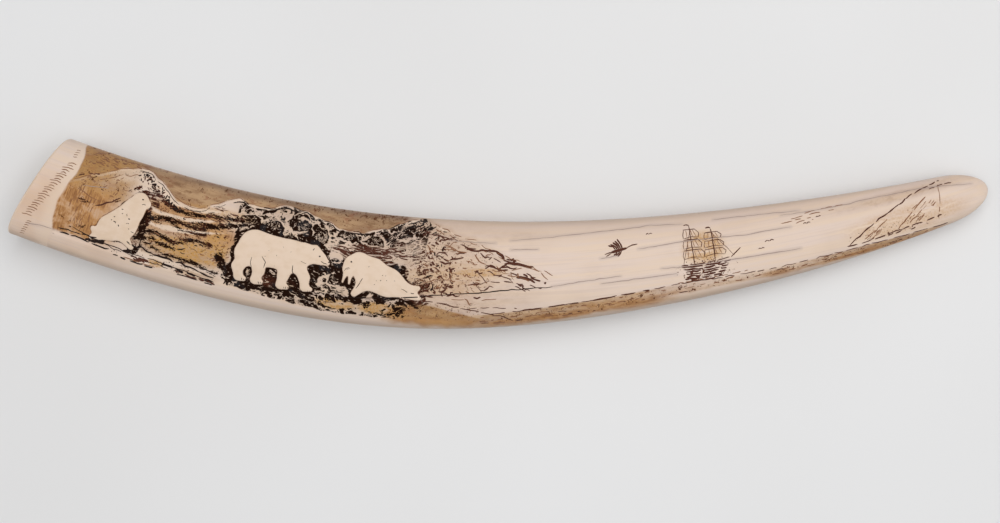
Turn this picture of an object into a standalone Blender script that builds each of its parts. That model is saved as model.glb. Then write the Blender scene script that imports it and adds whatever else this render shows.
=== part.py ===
"""Scrimshaw walrus tusk, lying on its broad side with the engraved side up.

The tusk is one solid piece of ivory. An oval section is carried along a gently
curved axis, from a slanting flat cut at the root to a blunt domed tip. On the
engraved side the ground is cut back a little, past a plain band at the root and
round raised figures below a ridge of hills.

Metres, +X from root to tip, +Z up, origin on the floor under the middle of the box.
"""

import bpy
import numpy as np

MM = 0.001
NAME = "scrimshaw_tusk"

# The tusk
AXIS_LENGTH = 527.0 * MM
HEADINGS_DEG = (-20.4, -11.5, 2.1, 10.5, 17.5)  # of the axis, at even shares of its length
WIDTHS = (59.4 * MM, 60.4 * MM, 60.2 * MM, 51.5 * MM, 39.0 * MM, 22.2 * MM)
THICKNESSES = (38.0 * MM, 38.5 * MM, 37.0 * MM, 31.5 * MM, 24.5 * MM, 16.0 * MM)
SECTION_POWER = 2.3  # 2 is an ellipse, and more is squarer
RESTING_FLAT_CUT = 0.35 * MM  # shaved off the underside, so that the tusk doesn't roll

# Its two ends
ROOT_CUT_TURN_DEG = 12.4  # seen from above, away from square across the axis
ROOT_RIM_RADIUS = 1.3 * MM
TIP_DOME_LENGTH = 24.1 * MM
TIP_DOME_POWER = 2.2  # 2 is half an ellipse, and more is blunter
TIP_LIFT = 4.0 * MM  # of the tip above where it would lie, because the tusk bows a little
TIP_LIFT_LENGTH = 200.0 * MM

# The engraved side, in lengths from the root cut and offsets from the middle line
GROUND_DEPTH = 0.6 * MM
EDGE_SOFTNESS = 1.3 * MM  # width of the slope between the ground and what stands above it
GROUND_END = 222.0 * MM
GROUND_FADE = 18.0 * MM
TOP_SIDE = (0.0, 0.5)  # how far up the skin faces where the engraving begins and is at its full depth

# The sheet below is in millimetres.
# Where the plain band at the root ends: lengths at even offsets, between the two widest
BAND_EDGE = (16.0, 17.9, 16.8, 17.3, 20.0, 21.6, 18.2)
BAND_OFFSETS = (-30.0, 30.0)

# The bare strip along the lower side begins at these offsets, before and after it widens
ROOT_MARGIN = -21.0
MIDDLE_MARGIN = -26.0
MARGIN_FALLS = (100.0, 180.0)

# The ridge between sky and land: offsets at even lengths, from the first to the last
RIDGE = (9.0, 18.5, 26.0, 25.0, 15.5, 16.5, 24.5, 23.5, 27.0, 24.5, 20.0, 19.5, 24.0, 29.0, 24.0)
RIDGE_LENGTHS = (19.4, 226.6)

# Figures, each a few tapered limbs: (length, offset, radius) at one end and at the other
SEAL = (
    ((47.5, -8.0, 6.8), (53.0, -4.0, 7.8)),
    ((53.0, -4.0, 7.6), (56.5, 4.5, 5.8)),
    ((56.5, 4.5, 5.3), (58.5, 10.2, 4.2)),
    ((58.5, 10.4, 3.5), (62.8, 9.6, 1.8)),
    ((47.5, -8.5, 5.8), (43.0, -13.0, 2.4)),
    ((43.0, -13.2, 2.0), (38.8, -11.2, 1.2)),
    ((43.0, -13.2, 2.0), (39.2, -16.0, 1.2)),
    ((53.5, -9.5, 2.8), (60.5, -14.8, 1.4)),
)
BEAR = (
    ((124.5, 2.1, 8.7), (143.8, 1.2, 8.1)),
    ((123.7, 2.5, 8.1), (119.9, -1.7, 5.7)),
    ((143.8, 1.6, 7.7), (150.6, 3.3, 5.5)),
    ((150.6, 3.3, 5.5), (156.4, 3.7, 3.8)),
    ((156.4, 3.7, 3.7), (159.8, 2.3, 2.6)),
    ((159.8, 2.3, 2.3), (163.6, 0.6, 1.3)),
    ((155.6, 7.2, 1.1), (156.3, 8.0, 0.8)),
    ((121.2, -3.4, 4.0), (117.4, -9.7, 2.6)),
    ((117.4, -9.7, 2.6), (118.6, -14.8, 1.8)),
    ((118.6, -15.2, 1.6), (121.6, -15.7, 1.1)),
    ((126.2, -3.4, 4.0), (128.7, -9.7, 2.6)),
    ((128.7, -9.7, 2.5), (127.5, -14.8, 1.8)),
    ((127.5, -15.2, 1.6), (130.8, -15.7, 1.1)),
    ((143.0, -2.6, 4.0), (141.7, -9.7, 2.5)),
    ((141.7, -9.7, 2.4), (140.9, -14.8, 1.8)),
    ((140.9, -15.2, 1.6), (144.3, -15.7, 1.1)),
    ((148.0, -1.7, 4.0), (152.7, -8.9, 2.4)),
    ((152.7, -8.9, 2.4), (153.5, -14.0, 1.7)),
    ((153.5, -14.3, 1.5), (156.7, -14.8, 1.0)),
)
WALRUS = (
    ((187.4, -2.7, 8.3), (197.1, -6.2, 7.2)),
    ((197.1, -6.2, 7.2), (206.8, -10.2, 3.7)),
    ((206.8, -10.2, 3.2), (212.5, -8.0, 1.1)),
    ((206.8, -11.1, 3.0), (212.9, -13.3, 1.3)),
    ((187.4, -1.0, 7.4), (180.4, 3.0, 5.1)),
    ((180.4, 3.0, 4.9), (176.8, 2.1, 3.9)),
    ((176.8, 1.2, 3.4), (174.9, -0.6, 2.5)),
    ((174.0, -2.7, 0.7), (172.8, -8.4, 0.3)),
    ((176.8, -3.1, 0.7), (176.3, -8.7, 0.3)),
    ((184.8, -7.1, 3.5), (179.5, -13.7, 1.6)),
)
FIGURES = (SEAL, BEAR, WALRUS)
FIGURE_BLEND = 0.9  # how softly one limb runs into the next

# How finely the surface is divided
PICTURE_ROWS = 84
PLAIN_ROWS = 18
DOME_ROWS = 8
RIM_ROWS = 2
TOP_COLUMNS = 26
TOP_REACH = 0.96  # share of the width over which the top's columns are evenly spaced
UNDER_COLUMNS = 14
AXIS_STEPS = 4000
AXIS_OVERRUN = 40.0 * MM  # the axis is carried on past the slanting cut by this
CUT_ROUNDS = 6  # of closing in on the cut, each about a hundred times nearer

IVORY = (0.72, 0.58, 0.48)
IVORY_ROUGHNESS = 0.42


def spline(values, share):
    """Read a natural cubic spline, through values at even shares of a length, at share."""
    values = np.asarray(values, float)
    spans = len(values) - 1
    bend = np.zeros(len(values))
    inner = 4 * np.eye(spans - 1) + np.eye(spans - 1, k=1) + np.eye(spans - 1, k=-1)
    bend[1:-1] = np.linalg.solve(inner, 6 * np.diff(values, 2))
    place = np.clip(share, 0, 1) * spans
    left = np.clip(place.astype(int), 0, spans - 1)
    right = left + 1
    t = place - left
    u = 1 - t
    straight = values[left] * u + values[right] * t
    return straight + (bend[left] * (u**3 - u) + bend[right] * (t**3 - t)) / 6


def smooth_step(low, high, value):
    """Rise smoothly from 0 at low to 1 at high."""
    t = np.clip((value - low) / (high - low), 0, 1)
    return t * t * (3 - 2 * t)


def axis_at(length):
    """Give the axis's X, Y and heading, by adding up short steps along its headings."""
    table = np.linspace(-AXIS_OVERRUN, AXIS_LENGTH, AXIS_STEPS)
    heading = np.radians(spline(HEADINGS_DEG, table / AXIS_LENGTH))
    step = table[1] - table[0]
    middle = (heading[1:] + heading[:-1]) / 2
    x = np.concatenate([[0], np.cumsum(np.cos(middle))]) * step
    y = np.concatenate([[0], np.cumsum(np.sin(middle))]) * step
    x -= np.interp(0, table, x)
    y -= np.interp(0, table, y)
    return [np.interp(length, table, column) for column in (x, y, heading)]


def dome(length):
    """Shrink the section to nothing over the tip, as a blunt half ellipse does."""
    past = np.clip(1 - (AXIS_LENGTH - length) / TIP_DOME_LENGTH, 0, 1)
    return np.sqrt(1 - past**TIP_DOME_POWER)


def half_sizes(length):
    """Give half the width and half the thickness of the section at a length."""
    share = length / AXIS_LENGTH
    shrink = dome(length) / 2
    return spline(WIDTHS, share) * shrink, spline(THICKNESSES, share) * shrink


def axis_height(length):
    """Lay the section's underside on the floor, less the resting flat, and lift the tip."""
    share = length / AXIS_LENGTH
    past = np.clip(1 - (AXIS_LENGTH - length) / TIP_LIFT_LENGTH, 0, 1)
    return spline(THICKNESSES, share) / 2 - RESTING_FLAT_CUT + TIP_LIFT * past**2


def rounded(angle):
    """Give the superellipse's two unit coordinates at an angle."""
    corner = 2 / SECTION_POWER
    cos, sin = np.cos(angle), np.sin(angle)
    return np.sign(cos) * np.abs(cos) ** corner, np.sign(sin) * np.abs(sin) ** corner


def skin(length, angle, inset):
    """Give points of the tusk's skin, moved inwards by inset, and their outward normals."""
    x, y, heading = axis_at(length)
    half_width, half_thickness = half_sizes(length)
    across, up = rounded(angle)
    side = (half_width - inset) * across
    rise = (half_thickness - inset) * up
    sin, cos = np.sin(heading), np.cos(heading)
    points = np.stack([x - sin * side, y + cos * side, axis_height(length) + rise], -1)
    slope = SECTION_POWER - 1
    out = np.sign(across) * np.abs(across) ** slope * half_thickness
    lift = np.sign(up) * np.abs(up) ** slope * half_width
    size = np.maximum(np.hypot(out, lift), np.finfo(float).tiny)
    normals = np.stack([-sin * out, cos * out, lift], -1) / size[..., None]
    return points, normals, side


def root_cut():
    """Give a point of the root's flat cut and the cut's outward normal."""
    x, y, heading = axis_at(0.0)
    turned = heading - np.radians(ROOT_CUT_TURN_DEG)
    return np.array([x, y, 0.0]), np.array([-np.cos(turned), -np.sin(turned), 0.0])


def length_at_cut(angle, inset, depth):
    """Find the length at which each line of the skin is depth inside the root cut."""
    point, normal = root_cut()
    length = np.zeros(len(angle))
    for _ in range(CUT_ROUNDS):
        here = skin(length, angle, inset)[0]
        heading = axis_at(length)[2]
        closing = -(np.cos(heading) * normal[0] + np.sin(heading) * normal[1])
        length = length + (depth + (here - point) @ normal) / closing
    return length


def share_between(ends, value):
    """Give how far a value lies between two ends."""
    return (value - ends[0]) / (ends[1] - ends[0])


def figure_distance(limbs, length, offset):
    """Give the distance outside a figure: a soft union of limbs with tapering radii."""
    nearness = 0
    for (l0, o0, r0), (l1, o1, r1) in limbs:
        run, rise = l1 - l0, o1 - o0
        t = np.clip(((length - l0) * run + (offset - o0) * rise) / (run**2 + rise**2), 0, 1)
        gap = np.hypot(length - l0 - t * run, offset - o0 - t * rise) - (r0 + t * (r1 - r0))
        nearness = nearness + np.exp(-np.clip(gap / FIGURE_BLEND, -60, 60))
    return -FIGURE_BLEND * np.log(nearness)


def cut_back(length, offset, top_side):
    """Give how deep the ground is cut back: past the band, below the ridge, round figures."""
    ground = 1 - smooth_step(GROUND_END, GROUND_END + GROUND_FADE, length)
    length, offset, soft = length / MM, offset / MM, EDGE_SOFTNESS / MM
    band_edge = spline(BAND_EDGE, share_between(BAND_OFFSETS, offset))
    ridge = spline(RIDGE, share_between(RIDGE_LENGTHS, length))
    margin = ROOT_MARGIN + (MIDDLE_MARGIN - ROOT_MARGIN) * smooth_step(*MARGIN_FALLS, length)
    ground = ground * smooth_step(0, soft, length - band_edge)
    ground = ground * smooth_step(0, soft, offset - margin)
    ground = ground * smooth_step(0, soft, ridge - offset)
    for limbs in FIGURES:
        gap = figure_distance(limbs, length, offset)
        ground = ground * smooth_step(-soft / 2, soft / 2, gap)
    return GROUND_DEPTH * ground * top_side


def row_shares():
    """Divide the length between the root's rim and the tip, finely where the picture is."""
    picture_end = (GROUND_END + GROUND_FADE) / AXIS_LENGTH
    dome_start = 1 - TIP_DOME_LENGTH / AXIS_LENGTH
    picture = np.linspace(0, picture_end, PICTURE_ROWS, endpoint=False)
    plain = np.linspace(picture_end, dome_start, PLAIN_ROWS, endpoint=False)
    quarter = np.linspace(0, np.pi / 2, DOME_ROWS, endpoint=False)
    tip = dome_start + (1 - dome_start) * np.sin(quarter)
    return np.concatenate([picture, plain, tip])


def column_angles():
    """Space the columns evenly across the top, and evenly by angle round the sides and below."""
    across = np.linspace(TOP_REACH, -TOP_REACH, TOP_COLUMNS)
    top = np.arccos(np.sign(across) * np.abs(across) ** (SECTION_POWER / 2))
    under = np.linspace(top[-1], top[0] + 2 * np.pi, UNDER_COLUMNS + 2)[1:-1]
    return np.concatenate([top, under])


def surface_rows():
    """Work out the rows of points round the tusk, from the flat cut's edge to the tip."""
    angle = column_angles()
    rows = []
    for turn in np.linspace(0, np.pi / 2, RIM_ROWS, endpoint=False):
        inset = ROOT_RIM_RADIUS * (1 - np.sin(turn))
        depth = ROOT_RIM_RADIUS * (1 - np.cos(turn))
        length = length_at_cut(angle, inset, depth)
        rows.append(skin(length, angle, inset)[0])
    rim = length_at_cut(angle, 0.0, ROOT_RIM_RADIUS)
    for share in row_shares():
        length = rim + (AXIS_LENGTH - rim) * share
        points, normals, offset = skin(length, angle, 0.0)
        depth = cut_back(length, offset, smooth_step(*TOP_SIDE, normals[:, 2]))
        rows.append(points - normals * depth[:, None])
    return np.array(rows)


def tusk_mesh():
    """Join the rows into one closed skin, with a flat face at the root and a point at the tip."""
    rows = surface_rows()
    count, around = rows.shape[:2]
    tip = skin(np.array([AXIS_LENGTH]), np.array([0.0]), 0.0)[0]
    points = np.concatenate([rows.reshape(-1, 3), tip])
    points[:, 2] = np.maximum(points[:, 2], 0.0)
    middle = (points.min(axis=0) + points.max(axis=0)) / 2
    points[:, :2] -= middle[:2]
    faces = [tuple(reversed(range(around)))]
    for row in range(count - 1):
        for column in range(around):
            after = (column + 1) % around
            low, high = row * around, (row + 1) * around
            faces.append((low + column, low + after, high + after, high + column))
    last = (count - 1) * around
    for column in range(around):
        faces.append((last + column, last + (column + 1) % around, count * around))
    mesh = bpy.data.meshes.new(NAME)
    mesh.from_pydata(points.tolist(), [], faces)
    mesh.validate()
    return mesh


def ivory():
    """Make the plain ivory material."""
    material = bpy.data.materials.new("ivory")
    material.use_nodes = True
    shader = material.node_tree.nodes["Principled BSDF"]
    shader.inputs["Base Color"].default_value = (*IVORY, 1)
    shader.inputs["Roughness"].default_value = IVORY_ROUGHNESS
    shader.inputs["Metallic"].default_value = 0
    return material


def main():
    for item in list(bpy.data.objects):
        bpy.data.objects.remove(item, do_unlink=True)
    collection = bpy.data.collections.new("scrimshaw walrus tusk")
    bpy.context.scene.collection.children.link(collection)
    mesh = tusk_mesh()
    mesh.materials.append(ivory())
    mesh.shade_smooth()
    mesh.set_sharp_from_angle(angle=np.radians(50))
    collection.objects.link(bpy.data.objects.new(NAME, mesh))


main()
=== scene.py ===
"""A scrimshaw walrus tusk on a pale studio floor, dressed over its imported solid.

The tusk's skin is worked out again on a fine grid from the solid's own sizes, with
the engraved ground cut back round raised figures. Ivory, patina and the inked ground
are one shader that reads the picture's sheet coordinates. Drawn lines, age cracks and
the marks on the root band are thin closed inlays of ink laid along the skin.

On the sheet, lengths run from the root cut along the axis and offsets run across it,
both in millimetres. Everything else is in metres.
"""

import math

import bpy
import numpy as np
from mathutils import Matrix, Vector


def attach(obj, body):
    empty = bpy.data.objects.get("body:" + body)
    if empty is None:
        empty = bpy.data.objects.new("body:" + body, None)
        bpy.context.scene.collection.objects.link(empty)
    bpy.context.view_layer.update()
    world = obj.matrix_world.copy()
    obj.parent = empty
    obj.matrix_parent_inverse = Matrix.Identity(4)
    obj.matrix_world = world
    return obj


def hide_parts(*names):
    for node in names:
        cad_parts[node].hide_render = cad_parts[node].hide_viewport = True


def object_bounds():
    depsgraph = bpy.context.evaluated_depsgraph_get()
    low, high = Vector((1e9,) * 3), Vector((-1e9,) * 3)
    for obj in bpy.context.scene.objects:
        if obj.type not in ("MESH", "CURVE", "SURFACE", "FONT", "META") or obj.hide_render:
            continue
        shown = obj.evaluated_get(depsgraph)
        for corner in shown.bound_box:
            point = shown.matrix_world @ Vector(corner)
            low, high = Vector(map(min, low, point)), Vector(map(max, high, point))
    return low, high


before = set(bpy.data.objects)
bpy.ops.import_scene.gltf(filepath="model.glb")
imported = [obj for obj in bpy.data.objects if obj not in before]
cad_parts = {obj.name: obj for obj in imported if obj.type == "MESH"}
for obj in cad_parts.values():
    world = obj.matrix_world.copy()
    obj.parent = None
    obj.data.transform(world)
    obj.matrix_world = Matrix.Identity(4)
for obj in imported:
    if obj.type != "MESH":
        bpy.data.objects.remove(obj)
CAD_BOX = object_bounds()
NODE = "scrimshaw_tusk"
BODY = "root"

bl_info = {
    "name": "Scrimshaw walrus tusk",
    "version": (1, 0, 0),
    "blender": (4, 5, 0),
    "location": "3D View > Sidebar > Tusk",
    "description": "Makes an engraved walrus tusk and its studio",
    "category": "Add Mesh",
}

MM = 0.001

# How far the floor lies below the tusk
FLOOR_GAP = 0.0002

# Where the plain root band ends: lengths at even offsets from -30 to 30
BAND_EDGE = (16.0, 17.9, 16.8, 17.3, 20.0, 21.6, 18.2)

# The ridge between sky and land: offsets at even lengths from the first to the last
RIDGE_START = 19.4
RIDGE_END = 285.8
RIDGE = (9, 18.5, 26, 25, 15.5, 16.5, 24.5, 23.5, 27, 24.5, 20, 19.5, 24, 29, 24, 18, 11, 4, -2)

# Figures on the sheet, each a few tapered limbs: (length, offset, radius) at both ends
SEAL = (
    ((47.5, -8.0, 6.8), (53.0, -4.0, 7.8)),
    ((53.0, -4.0, 7.6), (56.5, 4.5, 5.8)),
    ((56.5, 4.5, 5.3), (58.5, 10.2, 4.2)),
    ((58.5, 10.4, 3.5), (62.8, 9.6, 1.8)),
    ((47.5, -8.5, 5.8), (43.0, -13.0, 2.4)),
    ((43.0, -13.2, 2.0), (38.8, -11.2, 1.2)),
    ((43.0, -13.2, 2.0), (39.2, -16.0, 1.2)),
    ((53.5, -9.5, 2.8), (60.5, -14.8, 1.4)),
)
BEAR = (
    ((124.5, 2.1, 8.7), (143.8, 1.2, 8.1)),
    ((123.7, 2.5, 8.1), (119.9, -1.7, 5.7)),
    ((143.8, 1.6, 7.7), (150.6, 3.3, 5.5)),
    ((150.6, 3.3, 5.5), (156.4, 3.7, 3.8)),
    ((156.4, 3.7, 3.7), (159.8, 2.3, 2.6)),
    ((159.8, 2.3, 2.3), (163.6, 0.6, 1.3)),
    ((155.6, 7.2, 1.1), (156.3, 8.0, 0.8)),
    ((121.2, -3.4, 4.0), (117.4, -9.7, 2.6)),
    ((117.4, -9.7, 2.6), (118.6, -14.8, 1.8)),
    ((118.6, -15.2, 1.6), (121.6, -15.7, 1.1)),
    ((126.2, -3.4, 4.0), (128.7, -9.7, 2.6)),
    ((128.7, -9.7, 2.5), (127.5, -14.8, 1.8)),
    ((127.5, -15.2, 1.6), (130.8, -15.7, 1.1)),
    ((143.0, -2.6, 4.0), (141.7, -9.7, 2.5)),
    ((141.7, -9.7, 2.4), (140.9, -14.8, 1.8)),
    ((140.9, -15.2, 1.6), (144.3, -15.7, 1.1)),
    ((148.0, -1.7, 4.0), (152.7, -8.9, 2.4)),
    ((152.7, -8.9, 2.4), (153.5, -14.0, 1.7)),
    ((153.5, -14.3, 1.5), (156.7, -14.8, 1.0)),
)
WALRUS = (
    ((187.4, -2.7, 8.3), (197.1, -6.2, 7.2)),
    ((197.1, -6.2, 7.2), (206.8, -10.2, 3.7)),
    ((206.8, -10.2, 3.2), (212.5, -8.0, 1.1)),
    ((206.8, -11.1, 3.0), (212.9, -13.3, 1.3)),
    ((187.4, -1.0, 7.4), (180.4, 3.0, 5.1)),
    ((180.4, 3.0, 4.9), (176.8, 2.1, 3.9)),
    ((176.8, 1.2, 3.4), (174.9, -0.6, 2.5)),
    ((174.0, -2.7, 0.7), (172.8, -8.4, 0.3)),
    ((176.8, -3.1, 0.7), (176.3, -8.7, 0.3)),
    ((184.8, -7.1, 3.5), (179.5, -13.7, 1.6)),
)
FIGURES = (SEAL, BEAR, WALRUS)
FIGURE_BLEND = 0.9

# Boulders on the hills: (length, offset, half length, half height)
BOULDERS = (
    (118.5, 15.5, 5.6, 3.2), (133, 14.5, 4.6, 3.8), (145.5, 18.5, 6.0, 3.2), (158.5, 13.5, 4.4, 4.6),
    (171.5, 16.5, 5.4, 2.8), (188, 14.5, 5.6, 3.4), (200.5, 12.5, 4.4, 4.6), (212, 9.5, 3.8, 4.6),
    (168, -8, 3.4, 3.2),
)

# The line that the right half's ground strip hangs from: (length, offset)
GROUND_LINE = (
    (246, -21.5), (280, -18.6), (310, -16.4), (350, -13.6), (400, -13.9), (450, -12.3), (500, -12.0),
)
# How deep the strip reaches below that line: (length, depth)
GROUND_REACH = ((246, 7.8), (290, 7.2), (330, 6.9), (352, 5.8), (385, 4.2), (450, 4.4), (500, 2.8))

# A dark crack, and the grey age cracks, which follow the tusk's length: (places, width)
DARK_CRACK = ((166.5, -17.3), (202.9, -13.6), (228.4, -10.6), (256, -8.8), (283, -7.8))
CRACKS = (
    (((283, -7.8), (301, -6.2), (320, -5.4)), 0.40),
    (((309, -8.4), (336, -7.9), (350, -8.0)), 0.36),
    (((342, -4.1), (355, -5.0), (378, -5.1), (399, -5.6), (418, -6.1)), 0.42),
    (((310, 4.9), (320, 5.6)), 0.36),
    (((331, 7.8), (355, 8.6), (378, 7.7), (391, 6.6), (405, 6.8), (415, 6.3)), 0.42),
    (((262, 17.8), (292, 19.0), (320, 19.3), (340, 19.6), (357, 17.9)), 0.34),
    (((374, 17.7), (400, 16.2), (422, 13.8)), 0.34),
    (((228, 18.3), (242, 17.4), (254, 16.7)), 0.36),
    (((262, 12.9), (277, 12.6)), 0.34),
    (((411, 13.4), (438, 11.9), (462, 11.7), (488, 10.1), (505, 7.5), (518, 4.6)), 0.38),
    (((26.5, 8.9), (33.5, 10.5), (40.3, 11.7)), 0.36),
    (((5.2, -20.1), (11.8, -19.1), (18.8, -18.5)), 0.34),
)


def setting(name, description, default, **options):
    """A number, or a row of numbers, that a user may change."""
    options.update(name=name, description=description, default=default)
    if isinstance(default, tuple):
        return bpy.props.FloatVectorProperty(size=len(default), **options)
    return bpy.props.FloatProperty(**options)


def measure(name, description, default):
    """A setting in metres."""
    return setting(name, description, default, unit="LENGTH", precision=5)


def colour(name, description, default):
    """A setting that is a scene-linear colour."""
    return setting(name, description, default, subtype="COLOR")


class TuskSizes(bpy.types.PropertyGroup):
    """The tusk's own sizes, as in its solid."""

    axis_length: measure("Axis length", "Along the curved axis, from the root cut to the tip", 0.527)
    headings: setting(
        "Headings", "Of the axis in degrees, at even shares of its length", (-20.4, -11.5, 2.1, 10.5, 17.5))
    widths: measure(
        "Widths", "Of the section at even shares of the axis",
        (0.0594, 0.0604, 0.0602, 0.0515, 0.0390, 0.0222))
    thicknesses: measure(
        "Thicknesses", "Of the section at even shares of the axis",
        (0.0380, 0.0385, 0.0370, 0.0315, 0.0245, 0.0160))
    section_power: setting("Section power", "2 is an ellipse, and more is squarer", 2.3)
    resting_flat: measure("Resting flat", "Shaved off the underside, so that the tusk doesn't roll", 0.00035)
    root_cut_turn: setting(
        "Root cut's turn", "Seen from above, away from square across the axis", math.radians(12.4),
        subtype="ANGLE")
    root_rim: measure("Root rim", "Rounding of the root cut's edge", 0.0013)
    tip_dome: measure("Tip dome", "Length over which the tip closes", 0.0241)
    tip_power: setting("Tip power", "2 is half an ellipse, and more is blunter", 2.2)
    tip_lift: measure("Tip lift", "Of the tip above where it would lie", 0.004)
    tip_lift_length: measure("Tip lift length", "Length of the part that rises", 0.2)
    ground_depth: measure("Ground depth", "How deep the engraved ground is cut back", 0.0006)
    edge_softness: measure("Edge softness", "Slope between the ground and what stands above it", 0.0013)


class TuskColours(bpy.types.PropertyGroup):
    """The tusk's colours."""

    ivory: colour("Ivory", "Bare polished ivory", (0.71, 0.57, 0.485))
    cream: colour("Cream", "Paler, yellower ivory of the figures and the band", (0.73, 0.57, 0.44))
    dull: colour("Dull", "Faint darker clouds in the ivory", (0.57, 0.43, 0.34))
    tan: colour("Tan", "Old patina of the sky", (0.30, 0.165, 0.078))
    brown: colour("Brown", "Deep patina of the ground", (0.47, 0.235, 0.085))
    ochre: colour("Ochre", "Yellow tint in the ground", (0.49, 0.265, 0.085))
    ink: colour("Ink", "Rubbed-in dark ink", (0.013, 0.004, 0.0015))
    russet: colour("Russet", "Reddish brown ink", (0.085, 0.026, 0.014))
    line: colour("Line", "Thin brown lines", (0.235, 0.105, 0.05))
    crack: colour("Crack", "Grey age cracks", (0.37, 0.275, 0.235))


class StudioSizes(bpy.types.PropertyGroup):
    """The camera and the lights."""

    camera_distance: measure("Camera distance", "Above the tusk's middle height", 0.9035)
    camera_lens: setting("Lens", "Focal length on a 36 mm sensor", 60, subtype="DISTANCE_CAMERA")
    aim: measure("Aim", "Point of the floor below the camera", (-0.0005, -0.0149))
    key_power: setting("Key", "Overhead soft box", 12, unit="POWER")
    fill_power: setting("Fill", "Each side soft box", 2.2, unit="POWER")
    world_strength: setting("Room", "Even light of the room", 0.42)


def spline(values, share):
    """Read a natural cubic spline, through values at even shares of a length, at share."""
    values = np.asarray(values, float)
    spans = len(values) - 1
    bend = np.zeros(len(values))
    inner = 4 * np.eye(spans - 1) + np.eye(spans - 1, k=1) + np.eye(spans - 1, k=-1)
    bend[1:-1] = np.linalg.solve(inner, 6 * np.diff(values, 2))
    place = np.clip(share, 0, 1) * spans
    left = np.clip(place.astype(int), 0, spans - 1)
    t = place - left
    u = 1 - t
    straight = values[left] * u + values[left + 1] * t
    return straight + (bend[left] * (u**3 - u) + bend[left + 1] * (t**3 - t)) / 6


def ramp(low, high, value):
    """Rise smoothly from 0 at low to 1 at high."""
    t = np.clip((value - low) / (high - low), 0, 1)
    return t * t * (3 - 2 * t)


def fade(low, high, value):
    """Fall smoothly from 1 at low to 0 at high."""
    return 1 - ramp(low, high, value)


def cloud(x, y, seed):
    """Smooth noise from -1 to 1: random values on a unit lattice, blended by a smooth step."""
    size = 64
    lattice = np.random.default_rng(seed).uniform(-1, 1, (size, size))
    left, low = np.floor(x).astype(int), np.floor(y).astype(int)
    tx, ty = ramp(0, 1, x - left), ramp(0, 1, y - low)
    corner = [lattice[(left + i) % size, (low + j) % size] for i in (0, 1) for j in (0, 1)]
    return (corner[0] * (1 - tx) * (1 - ty) + corner[1] * (1 - tx) * ty
            + corner[2] * tx * (1 - ty) + corner[3] * tx * ty)


def clouds(x, y, seed, octaves=3):
    """Noise at several scales, each half as large and half as strong as the last."""
    total = sum(cloud(x * 2**k, y * 2**k, seed + k) / 2**k for k in range(octaves))
    return total / (2 - 2 ** (1 - octaves))


def piece_distance(length, offset, start, end):
    """Distance to a straight piece, and the share along it of the nearest place."""
    run, rise = end[0] - start[0], end[1] - start[1]
    far, up = length - start[0], offset - start[1]
    share = np.clip((far * run + up * rise) / (run**2 + rise**2), 0, 1)
    return np.hypot(far - share * run, up - share * rise), share


def path_distance(length, offset, points):
    """Distance to a line of straight pieces through points."""
    pairs = zip(points[:-1], points[1:])
    return np.min([piece_distance(length, offset, start, end)[0] for start, end in pairs], axis=0)


def figure_distance(limbs, length, offset):
    """Distance outside a figure: a soft union of limbs with tapering radii."""
    nearness = 0
    for start, end in limbs:
        gap, share = piece_distance(length, offset, start, end)
        gap = gap - (start[2] + share * (end[2] - start[2]))
        nearness = nearness + np.exp(-np.clip(gap / FIGURE_BLEND, -60, 60))
    return -FIGURE_BLEND * np.log(nearness)


def all_figures(length, offset):
    """Distance outside the nearest figure."""
    return np.min([figure_distance(limbs, length, offset) for limbs in FIGURES], axis=0)


def hill_line(length):
    """Offset of the ridge, a spline through its named offsets, with small ripples."""
    ripple = 0.45 * np.sin(length / 2.1) + 0.3 * np.sin(length / 1.17 + 1) + 0.35 * np.sin(length / 4.3 + 2)
    return spline(RIDGE, (length - RIDGE_START) / (RIDGE_END - RIDGE_START)) + ripple


def band_edge(offset):
    """Length at which the plain root band ends, a spline through its named lengths."""
    return spline(BAND_EDGE, (offset + 30) / 60) + 0.25 * np.sin(offset / 1.7)


def margin_line(length):
    """Offset at which the bare strip along the lower side begins."""
    return -21 - 5 * ramp(100, 180, length)


def ground_line(length):
    """Offset of the ground strip's upper line, over the right half."""
    return np.interp(length, *zip(*GROUND_LINE))


def ground_reach(length):
    """How deep the ground strip reaches below its upper line."""
    return np.interp(length, *zip(*GROUND_REACH))


def table_place(table, value):
    """The entry of a rising table before a value, and the share of the way to the next one."""
    at = np.clip(np.interp(value, table, np.arange(len(table))), 0, len(table) - 1.001)
    return at.astype(int), at - at.astype(int)


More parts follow.
